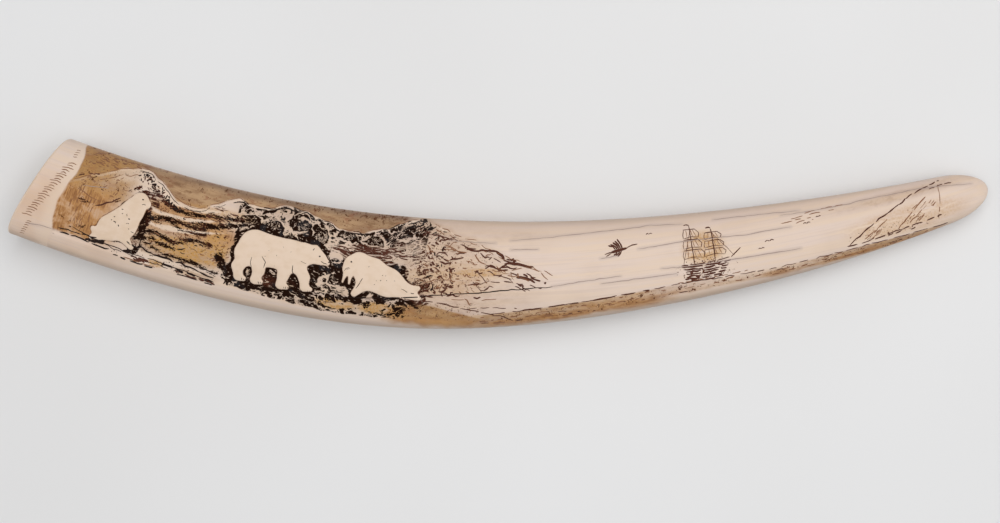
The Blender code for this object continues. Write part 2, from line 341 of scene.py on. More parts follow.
class TuskForm:
    """The tusk's skin as a function of length along the axis and angle round it."""

    # Rows over the picture, beyond it, over the tip's dome and round the root's rim, rings of the
    # root face, columns over the top, how far across they reach, and columns below
    PICTURE_ROWS = 400
    PLAIN_ROWS = 158
    DOME_ROWS = 22
    RIM_ROWS = 6
    CAP_RINGS = 12
    TOP_COLUMNS = 104
    TOP_REACH = 0.96
    UNDER_COLUMNS = 46

    # Where the picture's fine rows end, in metres; then how the axis is added up, how far it is
    # carried past the root cut, and how often the place of that cut is made better
    PICTURE_END = 0.285
    AXIS_STEPS = 6000
    AXIS_OVERRUN = 0.04
    CUT_STEPS = 6

    def __init__(self, sizes):
        self.sizes = sizes
        self.table = np.linspace(-self.AXIS_OVERRUN, sizes.axis_length, self.AXIS_STEPS)
        heading = np.radians(spline(sizes.headings, self.table / sizes.axis_length))
        step = self.table[1] - self.table[0]
        middle = (heading[1:] + heading[:-1]) / 2
        x = np.concatenate([[0], np.cumsum(np.cos(middle))]) * step
        y = np.concatenate([[0], np.cumsum(np.sin(middle))]) * step
        self.axis = (x - np.interp(0, self.table, x), y - np.interp(0, self.table, y), heading)

    def axis_at(self, length):
        """X, Y and heading of the axis, by adding up short steps along its headings."""
        return [np.interp(length, self.table, column) for column in self.axis]

    def half_sizes(self, length):
        """Half the width and half the thickness, closing over the tip as a blunt half ellipse."""
        sizes = self.sizes
        share = length / sizes.axis_length
        past = np.clip(1 - (sizes.axis_length - length) / sizes.tip_dome, 0, 1)
        shrink = np.sqrt(1 - past**sizes.tip_power) / 2
        return spline(sizes.widths, share) * shrink, spline(sizes.thicknesses, share) * shrink

    def axis_height(self, length):
        """Height of the axis: the underside lies on the floor, and the tip rises a little."""
        sizes = self.sizes
        past = np.clip(1 - (sizes.axis_length - length) / sizes.tip_lift_length, 0, 1)
        thickness = spline(sizes.thicknesses, length / sizes.axis_length)
        return thickness / 2 - sizes.resting_flat + sizes.tip_lift * past**2

    def skin(self, length, angle, inset=0.0):
        """Points of a superellipse section carried along the axis, with normals and offsets."""
        x, y, heading = self.axis_at(length)
        half_width, half_thickness = self.half_sizes(length)
        power = self.sizes.section_power
        sin, cos = np.sin(angle), np.cos(angle)
        across = np.sign(cos) * np.abs(cos) ** (2 / power)
        up = np.sign(sin) * np.abs(sin) ** (2 / power)
        side = (half_width - inset) * across
        rise = (half_thickness - inset) * up
        turn_x, turn_y = -np.sin(heading), np.cos(heading)
        points = np.stack([x + turn_x * side, y + turn_y * side, self.axis_height(length) + rise], -1)
        out = np.sign(across) * np.abs(across) ** (power - 1) * half_thickness
        lift = np.sign(up) * np.abs(up) ** (power - 1) * half_width
        size = np.maximum(np.hypot(out, lift), np.finfo(float).tiny)
        normals = np.stack([turn_x * out, turn_y * out, lift], -1) / size[..., None]
        return points, normals, side

    def length_at_cut(self, angle, inset, depth):
        """Length at which each line of the skin is depth inside the slanting root cut."""
        x, y, heading = self.axis_at(0.0)
        turned = heading - self.sizes.root_cut_turn
        point = np.array([x, y, 0.0])
        normal = np.array([-np.cos(turned), -np.sin(turned), 0.0])
        length = np.zeros(len(angle))
        for _ in range(self.CUT_STEPS):
            here = self.skin(length, angle, inset)[0]
            heading = self.axis_at(length)[2]
            closing = -(np.cos(heading) * normal[0] + np.sin(heading) * normal[1])
            length = length + (depth + (here - point) @ normal) / closing
        return length

    def top_angles(self, across):
        """Angles round the section at shares of its half width, on the top."""
        return np.arccos(np.sign(across) * np.abs(across) ** (self.sizes.section_power / 2))

    def column_angles(self):
        """Even columns across the top, and columns at even angles round the sides and below."""
        top = self.top_angles(np.linspace(self.TOP_REACH, -self.TOP_REACH, self.TOP_COLUMNS))
        under = np.linspace(top[-1], top[0] + 2 * np.pi, self.UNDER_COLUMNS + 2)[1:-1]
        return np.concatenate([top, under])

    def row_shares(self):
        """Even fine rows where the picture is, even coarser ones beyond, and the tip's by angle."""
        total = self.sizes.axis_length
        picture_end = self.PICTURE_END / total
        dome_start = 1 - self.sizes.tip_dome / total
        picture = np.linspace(0, picture_end, self.PICTURE_ROWS, endpoint=False)
        plain = np.linspace(picture_end, dome_start, self.PLAIN_ROWS, endpoint=False)
        quarter = np.linspace(0, np.pi / 2, self.DOME_ROWS, endpoint=False)
        return np.concatenate([picture, plain, dome_start + (1 - dome_start) * np.sin(quarter)])

    def carving(self, length, offset, top_side):
        """Depth below the bare skin, in metres: the cut-back ground and its chisel marks."""
        s, v = length / MM, offset / MM
        soft = self.sizes.edge_softness / MM
        ground = ramp(0, soft, s - band_edge(v)) * fade(222, 240, s)
        ground = ground * ramp(0, soft, v - margin_line(s)) * ramp(0, soft, hill_line(s) - v)
        ground = ground * ramp(-soft / 2, soft / 2, all_figures(s, v))
        chisel = 0.16 * clouds(s / 3.2, v / 1.5, 11)
        return self.sizes.ground_depth * ground * (1 + chisel) * top_side

    def build(self):
        """Work out the whole grid of the skin, and keep it for laying inlays on."""
        angle = self.column_angles()
        rim = self.sizes.root_rim
        rows = []

        def add_row(length, inset, carved):
            points, normals, offset = self.skin(length, angle, inset)
            top = ramp(0.0, 0.5, normals[:, 2])
            if carved:
                points = points - normals * self.carving(length, offset, top)[:, None]
            rows.append((points, length, offset, top))

        for share in self.cap_shares():
            half = min(self.half_sizes(0.0)) - rim
            inset = rim + half * (1 - share)
            add_row(self.length_at_cut(angle, inset, 0.0), inset, False)
        for turn in np.linspace(0, np.pi / 2, self.RIM_ROWS, endpoint=False):
            inset = rim * (1 - np.sin(turn))
            add_row(self.length_at_cut(angle, inset, rim * (1 - np.cos(turn))), inset, False)
        self.first_row = len(rows)
        self.start = self.length_at_cut(angle, 0.0, rim)
        self.shares = self.row_shares()
        for share in self.shares:
            add_row(self.start + (self.sizes.axis_length - self.start) * share, 0.0, True)
        self.rows, self.lengths, self.offsets, self.tops = map(np.array, zip(*rows))
        self.tip = self.skin(np.array([self.sizes.axis_length]), np.array([0.0]))[0]
        points = np.concatenate([self.rows.reshape(-1, 3), self.tip])
        middle = (points.min(axis=0) + points.max(axis=0)) / 2
        middle[2] = 0.0
        self.rows = self.rows - middle
        self.rows[..., 2] = np.maximum(self.rows[..., 2], 0.0)
        self.tip = self.tip - middle
        return self

    def cap_shares(self):
        """How far out from the root face's middle each of its rings lies."""
        return np.linspace(0, 1, self.CAP_RINGS, endpoint=False)[1:]

    def points(self):
        """Every point of the skin: its rows, the tip, and the middle of the root face."""
        return np.concatenate([self.rows.reshape(-1, 3), self.tip, self.rows[0].mean(axis=0)[None]])

    def on_skin(self, s, v):
        """Points and normals of the carved skin at sheet places, read between its grid's points."""
        length = s * MM
        across = np.clip(v * MM / self.half_sizes(length)[0], -0.999, 0.999)
        angle = self.top_angles(across)
        left, t = table_place(self.column_angles()[:self.TOP_COLUMNS], angle)
        start = self.start[left] * (1 - t) + self.start[left + 1] * t
        low, u = table_place(self.shares, (length - start) / (self.sizes.axis_length - start))
        low = low + self.first_row
        grid = self.rows
        points = (grid[low, left] * ((1 - u) * (1 - t))[..., None]
                  + grid[low + 1, left] * (u * (1 - t))[..., None]
                  + grid[low, left + 1] * ((1 - u) * t)[..., None]
                  + grid[low + 1, left + 1] * (u * t)[..., None])
        return points, self.skin(length, angle)[1]


def new_mesh(name, points, faces):
    """Make a mesh from points and faces of any size."""
    mesh = bpy.data.meshes.new(name)
    mesh.from_pydata(points.tolist(), [], faces)
    mesh.validate()
    return mesh


def grid_faces(rows, around):
    """Quads of a grid whose columns close round, outwards when angles turn about the axis."""
    low = np.arange(rows - 1)[:, None] * around
    column = np.arange(around)[None, :]
    after = (column + 1) % around
    quads = np.stack([low + column, low + after, low + around + after, low + around + column], -1)
    return quads.reshape(-1, 4)


def add_object(name, data, place=(0, 0, 0)):
    """Put an object with some data into the scene."""
    thing = bpy.data.objects.new(name, data)
    thing.location = place
    bpy.context.scene.collection.objects.link(thing)
    return thing


def add_piece(mesh, material):
    """Add a mesh as a piece that rides on the tusk's body."""
    mesh.materials.append(material)
    piece = add_object(mesh.name, mesh)
    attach(piece, BODY)
    return piece


class Value:
    """A shader socket on which Python's arithmetic adds Math nodes."""

    def __init__(self, graph, socket):
        self.graph = graph
        self.socket = socket

    def math(self, operation, *values):
        return self.graph.node("ShaderNodeMath", {"operation": operation}, values)

    def __add__(self, other):
        return self.math("ADD", self, other)

    def __sub__(self, other):
        return self.math("SUBTRACT", self, other)

    def __rsub__(self, other):
        return self.math("SUBTRACT", other, self)

    def __mul__(self, other):
        return self.math("MULTIPLY", self, other)

    __radd__ = __add__
    __rmul__ = __mul__

    def at_least(self, other):
        return self.math("MAXIMUM", self, other)

    def at_most(self, other):
        return self.math("MINIMUM", self, other)

    def sine(self):
        return self.math("SINE", self)

    def size(self):
        return self.math("ABSOLUTE", self)

    def rise(self, low, high, first=0, last=1):
        """The first number below low and the last above high, with a smooth step between."""
        return self.graph.node(
            "ShaderNodeMapRange", {"interpolation_type": "SMOOTHSTEP"}, (self, low, high, first, last))

    def fall(self, low, high):
        """1 below low and 0 above high, with a smooth step between."""
        return self.rise(low, high, 1, 0)


class Graph:
    """A material's node tree, with one method that adds any node."""

    def __init__(self, name):
        self.material = bpy.data.materials.new(name)
        self.material.use_nodes = True
        self.tree = self.material.node_tree
        self.shader = self.tree.nodes["Principled BSDF"]

    def node(self, kind, settings=None, inputs=(), output=0):
        """Add a node, apply its settings, feed its sockets, and give one output."""
        node = self.tree.nodes.new(kind)
        for key, value in (settings or {}).items():
            setattr(node, key, value)
        pairs = inputs.items() if isinstance(inputs, dict) else enumerate(inputs)
        for key, value in pairs:
            self.feed(node.inputs[key], value)
        return Value(self, node.outputs[output])

    def feed(self, socket, value):
        """Link a value to a socket, or set the socket where the value is plain."""
        if isinstance(value, Value):
            self.tree.links.new(value.socket, socket)
        else:
            socket.default_value = value

    def place(self):
        """The object's own coordinates, in metres."""
        return self.node("ShaderNodeTexCoord", output="Object")

    def attribute(self, name, output="Fac"):
        return self.node("ShaderNodeAttribute", {"attribute_name": name}, output=output)

    def triple(self, name):
        """The three parts of an attribute."""
        return self.parts(self.attribute(name, "Vector"))

    def parts(self, vector):
        split = self.node("ShaderNodeSeparateXYZ", None, (vector,)).socket.node
        return [Value(self, socket) for socket in split.outputs]

    def vector(self, x, y, z=0.0):
        return self.node("ShaderNodeCombineXYZ", None, (x, y, z))

    def noise(self, vector, scale, detail=2.0, roughness=0.5):
        return self.node("ShaderNodeTexNoise", None, {
            "Vector": vector, "Scale": scale, "Detail": detail, "Roughness": roughness})

    def sheet_noise(self, x, y, seed, detail, roughness=0.5, scale=1.0):
        """Noise at a place of a flat sheet, with another pattern for each seed."""
        return self.noise(self.vector(x, y, seed), scale, detail, roughness)

    def cells(self, vector, scale=1.0):
        """Distance to the nearest border between scattered cells."""
        return self.node(
            "ShaderNodeTexVoronoi", {"feature": "DISTANCE_TO_EDGE"}, {"Vector": vector, "Scale": scale})

    def mix(self, factor, first, second):
        """Mix two colours by a factor."""
        first, second = (c if isinstance(c, Value) else (*c, 1) for c in (first, second))
        return self.node("ShaderNodeMix", {"data_type": "RGBA"}, {0: factor, 6: first, 7: second}, output=2)

    def finish(self, **sockets):
        """Feed the Principled shader's sockets, named with underscores for spaces."""
        for name, value in sockets.items():
            self.feed(self.shader.inputs[name.replace("_", " ")], value)
        return self.material


class MakeStage(bpy.types.Operator):
    """Make the floor, the soft lights and the camera"""

    bl_idname = "tusk.stage"
    bl_label = "Studio"

    # Soft boxes: place, then width and height
    KEY = ((0.18, 0.25, 1.25), (1.5, 1.1))
    FILL_LEFT = ((-1.2, -0.3, 0.7), (0.9, 0.9))
    FILL_RIGHT = ((1.2, -0.2, 0.7), (0.9, 0.9))
    FLOOR_REACH = 9.0
    ROOM_COLOUR = (0.95, 0.97, 1, 1)
    SENSOR_WIDTH = 36

    def execute(self, context):
        studio = context.scene.tusk_studio
        self.floor()
        self.soft_box("Key_Light", self.KEY, studio.key_power).visible_glossy = False
        self.soft_box("Fill_Left", self.FILL_LEFT, studio.fill_power)
        self.soft_box("Fill_Right", self.FILL_RIGHT, studio.fill_power)
        middle = (CAD_BOX[0][2] + CAD_BOX[1][2]) / 2
        data = bpy.data.cameras.new("Camera")
        data.lens = studio.camera_lens
        data.sensor_width = self.SENSOR_WIDTH
        context.scene.camera = add_object("Camera", data, (*studio.aim, middle + studio.camera_distance))
        world = bpy.data.worlds.new("Room")
        world.use_nodes = True
        background = world.node_tree.nodes["Background"]
        background.inputs["Color"].default_value = self.ROOM_COLOUR
        background.inputs["Strength"].default_value = studio.world_strength
        context.scene.world = world
        context.scene.view_settings.view_transform = "Standard"
        return {"FINISHED"}

    def floor(self):
        """A flat square a hair below the tusk, with faint clouds."""
        graph = Graph("floor")
        tone = graph.noise(graph.place(), 3.0).rise(0.2, 0.8)
        tint = graph.mix(tone, (0.74, 0.73, 0.72), (0.78, 0.775, 0.77))
        corners = np.array([(-1, -1), (1, -1), (1, 1), (-1, 1)]) * self.FLOOR_REACH
        mesh = new_mesh("Floor", np.column_stack([corners, np.full(4, -FLOOR_GAP)]), [(0, 1, 2, 3)])
        mesh.materials.append(graph.finish(Base_Color=tint, Roughness=0.8))
        add_object("Floor", mesh)

    def soft_box(self, name, box, power):
        """An area light aimed at the tusk."""
        place, size = box
        data = bpy.data.lights.new(name, "AREA")
        data.shape = "RECTANGLE"
        data.size, data.size_y = size
        data.energy = power
        light = add_object(name, data, place)
        x, y, z = place
        light.rotation_euler = (0, math.atan2(math.hypot(x, y), z), math.atan2(y, x))
        return light


def spot(s, v, at, reach, soft=0.35):
    """1 inside an ellipse round a place and 0 outside it, with a soft edge."""
    return fade(1 - soft, 1 + soft, np.hypot((s - at[0]) / reach[0], (v - at[1]) / reach[1]))


def spots(s, v, rows):
    """The strongest of some spots: (strength, place, reach), with a softness where it isn't usual."""
    return np.max([strength * spot(s, v, *rest) for strength, *rest in rows], axis=0)


# Dark streaks of the valley between the seal and the bear: (points, half width)
DARK_STREAKS = (
    (((59, 6), (66, 3.2), (78, 5.6), (92, 4.6), (109, 10)), 1.2),
    (((57, -1), (64, -4.6), (72, -3.2), (81, -6), (92, -2.2), (101, -2.6)), 1.1),
    (((57, -5), (61, -9.5), (68, -10.2), (77, -13.4), (93, -14), (107, -16.5)), 0.8),
    (((63, 19), (75, 11.8), (87, 10.4), (98, 13.2), (113, 14)), 1.0),
    (((84, 4.8), (101, 8), (117, 12)), 1.1),
    (((67, -4), (73, -8.2), (83, -9.4)), 0.6),
    (((77, 4.8), (85, 1.0), (97, 2.2)), 0.7),
    (((62, -8.6), (71, -6.6)), 0.5),
    (((107, -8), (111, -13), (115, -17)), 2.2),
)

# Pale worn streaks there: (points, half width)
PALE_STREAKS = (
    (((60.8, 9.5), (71.6, 7.4), (89.2, 8), (102.9, 11)), 0.8),
    (((58.9, 2), (69.7, 0.2), (87.3, 1.2), (108.9, 6)), 0.9),
    (((59.5, -15.5), (83.0, -17), (106.4, -19.5)), 0.7),
    (((64.9, 21), (76.3, 14.4), (91.0, 14), (106.5, 17)), 0.7),
)


def streak_distance(s, v, streaks):
    """Distance outside the nearest of some streaks."""
    return np.min([path_distance(s, v, points) - half for points, half in streaks], axis=0)


def boulder_distance(s, v):
    """Distance outside the nearest boulder, each an ellipse with a slightly lumpy edge."""
    gaps = []
    for index, (at_s, at_v, half_s, half_v) in enumerate(BOULDERS):
        run, rise = (s - at_s) / half_s, (v - at_v) / half_v
        lumps = 1 + 0.07 * np.sin(3 * np.arctan2(rise, run) + index)
        gaps.append((np.hypot(run, rise) - lumps) * min(half_s, half_v))
    return np.min(gaps, axis=0)


def picture_area(s, v):
    """1 past the root band and above the bare strip, where the picture is."""
    return ramp(-0.2, 0.5, s - band_edge(v)) * ramp(-0.6, 0.8, v - margin_line(s))


def wedge_area(s, v):
    """1 in the ragged brown wedge below the last figure, between two slanting lines."""
    ragged_s, ragged_v = s + 4 * clouds(s / 7, v / 4, 51), v + 1.8 * clouds(s / 6, v / 4, 52)
    wedge = spot(ragged_s, ragged_v, (224, -21.8), (32, 6.2), 0.3)
    wedge = wedge * ramp(-0.4, 0.4, -14.0 - 0.24 * (s - 205) - v)
    return wedge * ramp(-1.2, 1.2, s - 201 - 0.9 * (v + 17.5) * np.sign(-17.5 - v))


def tone_fields(s, v):
    """Tan patina, brown ground and ochre tint, each from 0 to 1."""
    picture = picture_area(s, v)
    wedge = wedge_area(s, v)
    above_hills = v - hill_line(s)
    sky = ramp(-0.4, 0.5, above_hills) * ramp(-0.2, 0.5, s - band_edge(v)) * fade(200, 212, s)
    left = picture * fade(38, 57, s) * fade(7, 16, v) * ramp(-19.4, -17.6, v)
    corner = picture * fade(44, 58, s) * ramp(4, 10, v)
    valley = spot(s, v, (83.5, -1), (33, 17), 0.2) * ramp(-17, -15, v)
    lower = picture * ramp(107, 115, s) * fade(206, 216, s)
    beyond = picture * fade(226, 292, s) * ramp(204, 214, s) * (1 - 0.75 * ramp(-1, 3, above_hills))

    depth = ground_line(s) - v
    share = depth / ground_reach(s) + 0.16 * clouds(s / 5, v / 2.5, 61)
    strip = ramp(226, 256, s) * fade(486, 506, s) * (1 - 0.75 * spot(s, v, (384, -17), (44, 12), 0.5))
    strip = strip * ramp(-0.2, 0.6, depth) * fade(0.8, 1.1, share)
    patchy = ramp(-0.6, 0.5, clouds(s / 14, v / 3.5, 63))
    smears = spots(s, v, ((0.8, (320, -20.6), (22, 2.4), 0.6), (0.6, (404, -16.6), (9, 1.6), 0.6)))

    tan = np.max([
        sky, 0.6 * corner, 0.6 * valley, 0.3 * lower, 0.27 * beyond, 0.8 * smears, 0.95 * wedge,
        (0.45 + 0.35 * np.maximum(patchy, ramp(0.35, 0.65, share))) * strip,
        0.5 * picture * spot(s, v, (136, -14), (28, 6), 0.5),
        spots(s, v, (
            (0.3, (478, 9), (34, 2.6), 0.8), (0.12, (262, 20), (16, 2.2), 0.8),
            (0.55, (97, -19.8), (11, 2.2), 0.6))),
    ], axis=0)
    brown = np.max([
        left, 0.8 * valley * ramp(-6, 2, v), 0.3 * corner, 0.1 * beyond, smears,
        (0.65 + 0.35 * patchy) * strip * ramp(0.35, 0.7, share),
        0.7 * wedge * np.maximum(fade(-25.5, -22, v), fade(204, 214, s)),
    ], axis=0)
    ochre = np.max([
        0.6 * corner, 0.35 * wedge, 0.34 * strip * fade(0.3, 0.8, share),
        0.45 * spot(s, v, (478, -4), (32, 7)) * ramp(-0.5, 1.5, -depth),
        spots(s, v, (
            (1, (88, -8.5), (22, 5.8), 0.25), (1, (104, -4), (7, 10), 0.3), (0.6, (105, 15), (18, 3.2)),
            (1, (170, -20.5), (10, 3.2), 0.25), (1, (191, -20.6), (9, 3.4), 0.25),
            (0.8, (245, 1), (14, 2.2)), (0.95, (75.0, -19.4), (4.2, 1.9), 0.3),
            (0.36, (226, -3), (22, 9)), (0.8, (366, 3.5), (11, 8.5), 0.3))),
    ], axis=0)
    return np.stack([tan, brown, ochre], -1)


def ink_fields(s, v):
    """Where outlines, blots and the masses below the figures are inked, each from 0 to 1."""
    outline = np.maximum(
        ramp(99, 107, s) * fade(226, 232, s), ramp(50, 64, s + 0.25 * v) * fade(68, 76, s))
    dark_slope = ((214.8, 8), (215.8, 0), (212.8, -10), (207, -15))
    blots = np.max([
        ramp(107, 117, s) * fade(210, 222, s) * ramp(5, 8, v),
        0.9 * spot(s, v, (167, -8), (9, 13)),
        0.9 * fade(0.7, 1.3, path_distance(s, v, dark_slope) / 4.5),
    ], axis=0)
    under = ramp(109, 115, s) * fade(202, 212, s) * fade(-17.5, -14, v)
    under = np.maximum(under, spot(s, v, (135.4, -11), (10, 5)))
    under = under * (1 - 0.8 * spots(s, v, (
        (1, (170, -20.5), (9, 2.6), 0.3), (1, (191, -20.6), (8, 2.8), 0.3))))
    under = np.maximum(under, spots(s, v, (
        (0.8, (204, -15.5), (8, 2.6)), (0.9, (114.8, -15), (5, 6)),
        (0.75, (192, -24.2), (11, 1.8)), (0.7, (202.5, -20.5), (2.4, 4.5)))))
    under = under * (1.12 - 0.2 * ramp(150, 180, s))
    return np.stack([outline, blots, under], -1)


def tint_fields(s, v):
    """Reddish ink, bare pale ivory and the distance outside the valley's streaks."""
    red = spots(s, v, (
        (1, (187, 8), (24, 5)), (1, (66, 14), (13, 8)), (1, (214.8, -2), (9, 16)),
        (0.45, (89, 0), (26, 8)), (1, (72, -18.5), (4, 2)), (0.5, (135, -14), (14, 4)),
        (0.5, (208, 12), (12, 9))))
    below = hill_line(s) - v
    past_band = s - band_edge(v)
    worn = streak_distance(s, v, PALE_STREAKS) + 0.9 * clouds(s / 7, v / 5, 73) + 1.6 * ramp(92, 110, s)
    broken = ramp(-0.5, 0.4, clouds(s / 9, v / 30, 71)) * (0.3 + 0.7 * ramp(30, 46, s))
    pale = np.max([
        0.75 * ramp(0.2, 1.0, below) * fade(5, 9.5, below) * ramp(36, 46, s) * fade(62, 72, s),
        fade(0.0, 0.6, worn),
        broken * ramp(0.0, 0.3, below) * fade(0.8, 1.3, below),
        0.7 * ramp(-9, -2, past_band) * fade(-0.6, 0.0, past_band),
    ], axis=0)
    return np.stack([red, pale, np.clip(streak_distance(s, v, DARK_STREAKS), -3, 12)], -1)


def flow_fields(s, v):
    """Places along and across the ground's drift, which follows the valley and the hills, and flecks."""
    bowl = 5 * np.sin((s - 112) / 16) * ramp(104, 124, s)
    across = v - 3 * np.sin((s - 50) / 22) * fade(100, 116, s) - bowl
    along = s + 2 * clouds(s / 9, v / 9, 21)
    return np.stack([along, across + 1.2 * clouds(s / 12, v / 7, 31), speckle(s, v)], -1)


def speckle(s, v):
    """How thickly flecks and curled threads of ink lie, from 0 to 1."""
    picture = ramp(0, 1, s - band_edge(v)) * ramp(0, 1, v - margin_line(s))
    below = hill_line(s) - v
    land = picture * ramp(0.3, 1.5, below)
    sky = picture * ramp(0.5, 2, -below) * fade(204, 214, s)
    depth, reach = ground_line(s) - v, ground_reach(s)
    strip = ramp(0.3, 1.2, depth) * fade(0.7 * reach, reach, depth)
    return np.max([
        0.4 * land * ramp(203, 213, s) * fade(214, 262, s) * ramp(-12, -8, v),
        0.22 * land * fade(50, 62, s) * ramp(2, 9, v),
        0.32 * spot(s, v, (83.5, 0), (34, 20), 0.2) * (1 - 0.7 * spot(s, v, (94, -8.5), (20, 6))),
        0.2 * picture * ramp(201, 206, s) * fade(-16, -14, v) * fade(236, 252, s),
        sky * np.maximum(0.16, 0.5 * ramp(25, 28.5, v) * ramp(100, 140, s)),
        0.3 * strip * ramp(248, 262, s) * fade(480, 500, s),
        spots(s, v, ((0.2, (470, -7), (26, 3.4)), (0.4, (366, -8), (15, 6)))),
    ], axis=0)


class MakeTusk(bpy.types.Operator):
    """Make the tusk's carved skin with its ivory, patina and inked ground"""

    bl_idname = "tusk.skin"
    bl_label = "Tusk"

    # The bake map. In metres: how much of the top each of its strips holds, what the map's square
    # spans for the top and for the underside, and the border before both. Then, in shares of the
    # square: where each strip starts and how tall it is, and the middle of the root face.
    STRIP_LENGTH = 0.2
    TOP_SPAN = 0.226
    UNDER_SPAN = 0.54
    BORDER = 0.012
    STRIP_STARTS = (0.005, 0.315, 0.62)
    STRIP_HEIGHTS = (0.30, 0.295, 0.17)
    UNDER_START = 0.80
    UNDER_HEIGHT = 0.19
    FACE_MIDDLE = (0.83, 0.705)

    def execute(self, context):
        form = tusk_form(context)
        mesh = self.skin_mesh(form)
        self.write_fields(mesh, form)
        self.write_bake_map(mesh, form)
        piece = add_piece(mesh, self.ivory(context.scene.tusk_colours))
        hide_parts(NODE)
        return {"FINISHED"}

    def skin_mesh(self, form):
        """Close the grid of rows with a point at the tip and one in the root cut's middle."""
        count, around = form.rows.shape[:2]
        column = np.arange(around)
        after = (column + 1) % around
        last = (count - 1) * around
        tip = np.stack([last + column, last + after, np.full(around, count * around)], -1)
        root = np.stack([after, column, np.full(around, count * around + 1)], -1)
        faces = grid_faces(count, around).tolist() + tip.tolist() + root.tolist()
        mesh = new_mesh("Scrimshaw_Tusk", form.points(), faces)
        mesh.shade_smooth()
        return mesh

    def write_fields(self, mesh, form):
        """Store what the shader reads at each point: sheet place, tones, ink, drift, edges."""
        s = np.append(form.lengths, [form.sizes.axis_length, 0.0]) / MM
        v = np.append(form.offsets, [0.0, 0.0]) / MM
        top = np.append(form.tops, [0.5, 0.0])
        on_face = np.arange(len(s)) < form.first_row * form.rows.shape[1]
        on_face[-1] = True
        shown = np.where(on_face, 0, ramp(0, 0.5, top))[:, None]
        fields = {
            "sheet": np.stack([s, v, top], -1),
            "tones": tone_fields(s, v) * shown,
            "inks": ink_fields(s, v) * shown,
            "tints": tint_fields(s, v),
            "drift": flow_fields(s, v),
            "figures": np.clip(all_figures(s, v), -12, 12),
            "boulders": np.clip(boulder_distance(s, v), -6, 12),
            "cracks": np.min([path_distance(s, v, path) for path, _ in CRACKS], axis=0),
            "land": np.min([hill_line(s) - v, v - margin_line(s), s - band_edge(v), 232 - s], axis=0),
            "root_face": on_face.astype(float),
            "core": self.core_shares(form, len(s)),
        }
        for name, field in fields.items():
            kind, key = ("FLOAT_VECTOR", "vector") if field.ndim == 2 else ("FLOAT", "value")
            attribute = mesh.attributes.new(name, kind, "POINT")
            attribute.data.foreach_set(key, field.astype(np.float32).ravel())

    def core_shares(self, form, count):
        """How far in from the root cut's edge a point lies: 0 at the edge and 1 in the middle."""
        rings = np.repeat(1 - form.cap_shares(), form.rows.shape[1])
        core = np.zeros(count)
        core[:len(rings)] = rings
        core[-1] = 1
        return core

    def write_bake_map(self, mesh, form):
        """Lay the skin out for baking: three strips of its top, one of its underside, the root cut."""
        count, around = form.rows.shape[:2]
        loops = np.empty(len(mesh.loops), int)
        mesh.loops.foreach_get("vertex_index", loops)
        sizes = np.empty(len(mesh.polygons), int)
        mesh.polygons.foreach_get("loop_total", sizes)
        face = np.repeat(np.arange(len(sizes)), sizes)
        quads = (count - 1) * around
        in_tip = (face >= quads) & (face < quads + around)
        in_root = face >= quads + around
        row, face_column = np.divmod(np.minimum(face, quads - 1), around)
        face_column = np.where(face >= quads, (face - quads) % around, face_column)
        column = np.where(loops >= count * around, face_column, loops % around)
        column = np.where((face_column == around - 1) & (column == 0), around, column)
        share = column / around
        length = np.append(form.lengths, [form.sizes.axis_length, 0.0])[loops]
        strip = np.clip((form.lengths[row, 0] // self.STRIP_LENGTH).astype(int), 0, 2)
        top_share = (form.TOP_COLUMNS - 1) / around
        on_top = face_column < form.TOP_COLUMNS - 1
        u = np.where(on_top, (length - strip * self.STRIP_LENGTH + self.BORDER) / self.TOP_SPAN,
                     (length + self.BORDER) / self.UNDER_SPAN)
        start, tall = np.array(self.STRIP_STARTS)[strip], np.array(self.STRIP_HEIGHTS)[strip]
        v = np.where(on_top, start + tall * share / top_share,
                     self.UNDER_START + self.UNDER_HEIGHT * (share - top_share) / (1 - top_share))
        on_cap = (row < form.first_row) & ~in_tip | in_root
        x, y, z = (form.points()[loops] - form.rows[0].mean(axis=0)).T / self.TOP_SPAN
        heading = form.axis_at(0.0)[2] - form.sizes.root_cut_turn
        cap_u = self.FACE_MIDDLE[0] - np.sin(heading) * x + np.cos(heading) * y
        uv = np.stack([np.where(on_cap, cap_u, u), np.where(on_cap, self.FACE_MIDDLE[1] + z, v)], -1)
        layer = mesh.uv_layers.new(name="OFBake")
        layer.uv.foreach_set("vector", uv.astype(np.float32).ravel())

    def ivory(self, colours):
        """Ivory with grain, patina, ochre tints and broken dark ink in its ground."""
        graph = Graph("engraved ivory")
        place = graph.place()
        sheet = graph.attribute("sheet", "Vector")
        s, v, top = graph.parts(sheet)
        tan, brown, ochre = graph.triple("tones")
        outline, blots, under = graph.triple("inks")
        red, pale, streak = graph.triple("tints")
        drift_s, drift_v, flecked = graph.triple("drift")
        figure, boulder = graph.attribute("figures"), graph.attribute("boulders")
        land = graph.attribute("land")

        # Noise round zero that roughens edges, at the scale of lines, of flecks and of blots
        wobble = graph.noise(sheet, 0.5, 2) - 0.5
        fleck = graph.sheet_noise(s * 0.9, v * 1.3, 0, 2, 0.7, scale=1.2) - 0.5
        coarse = graph.noise(sheet, 0.13, 1) - 0.5
        fine = graph.noise(place, 900, 2)
        on_top = top.rise(0.1, 0.3)
        edge = figure + fleck * 0.4

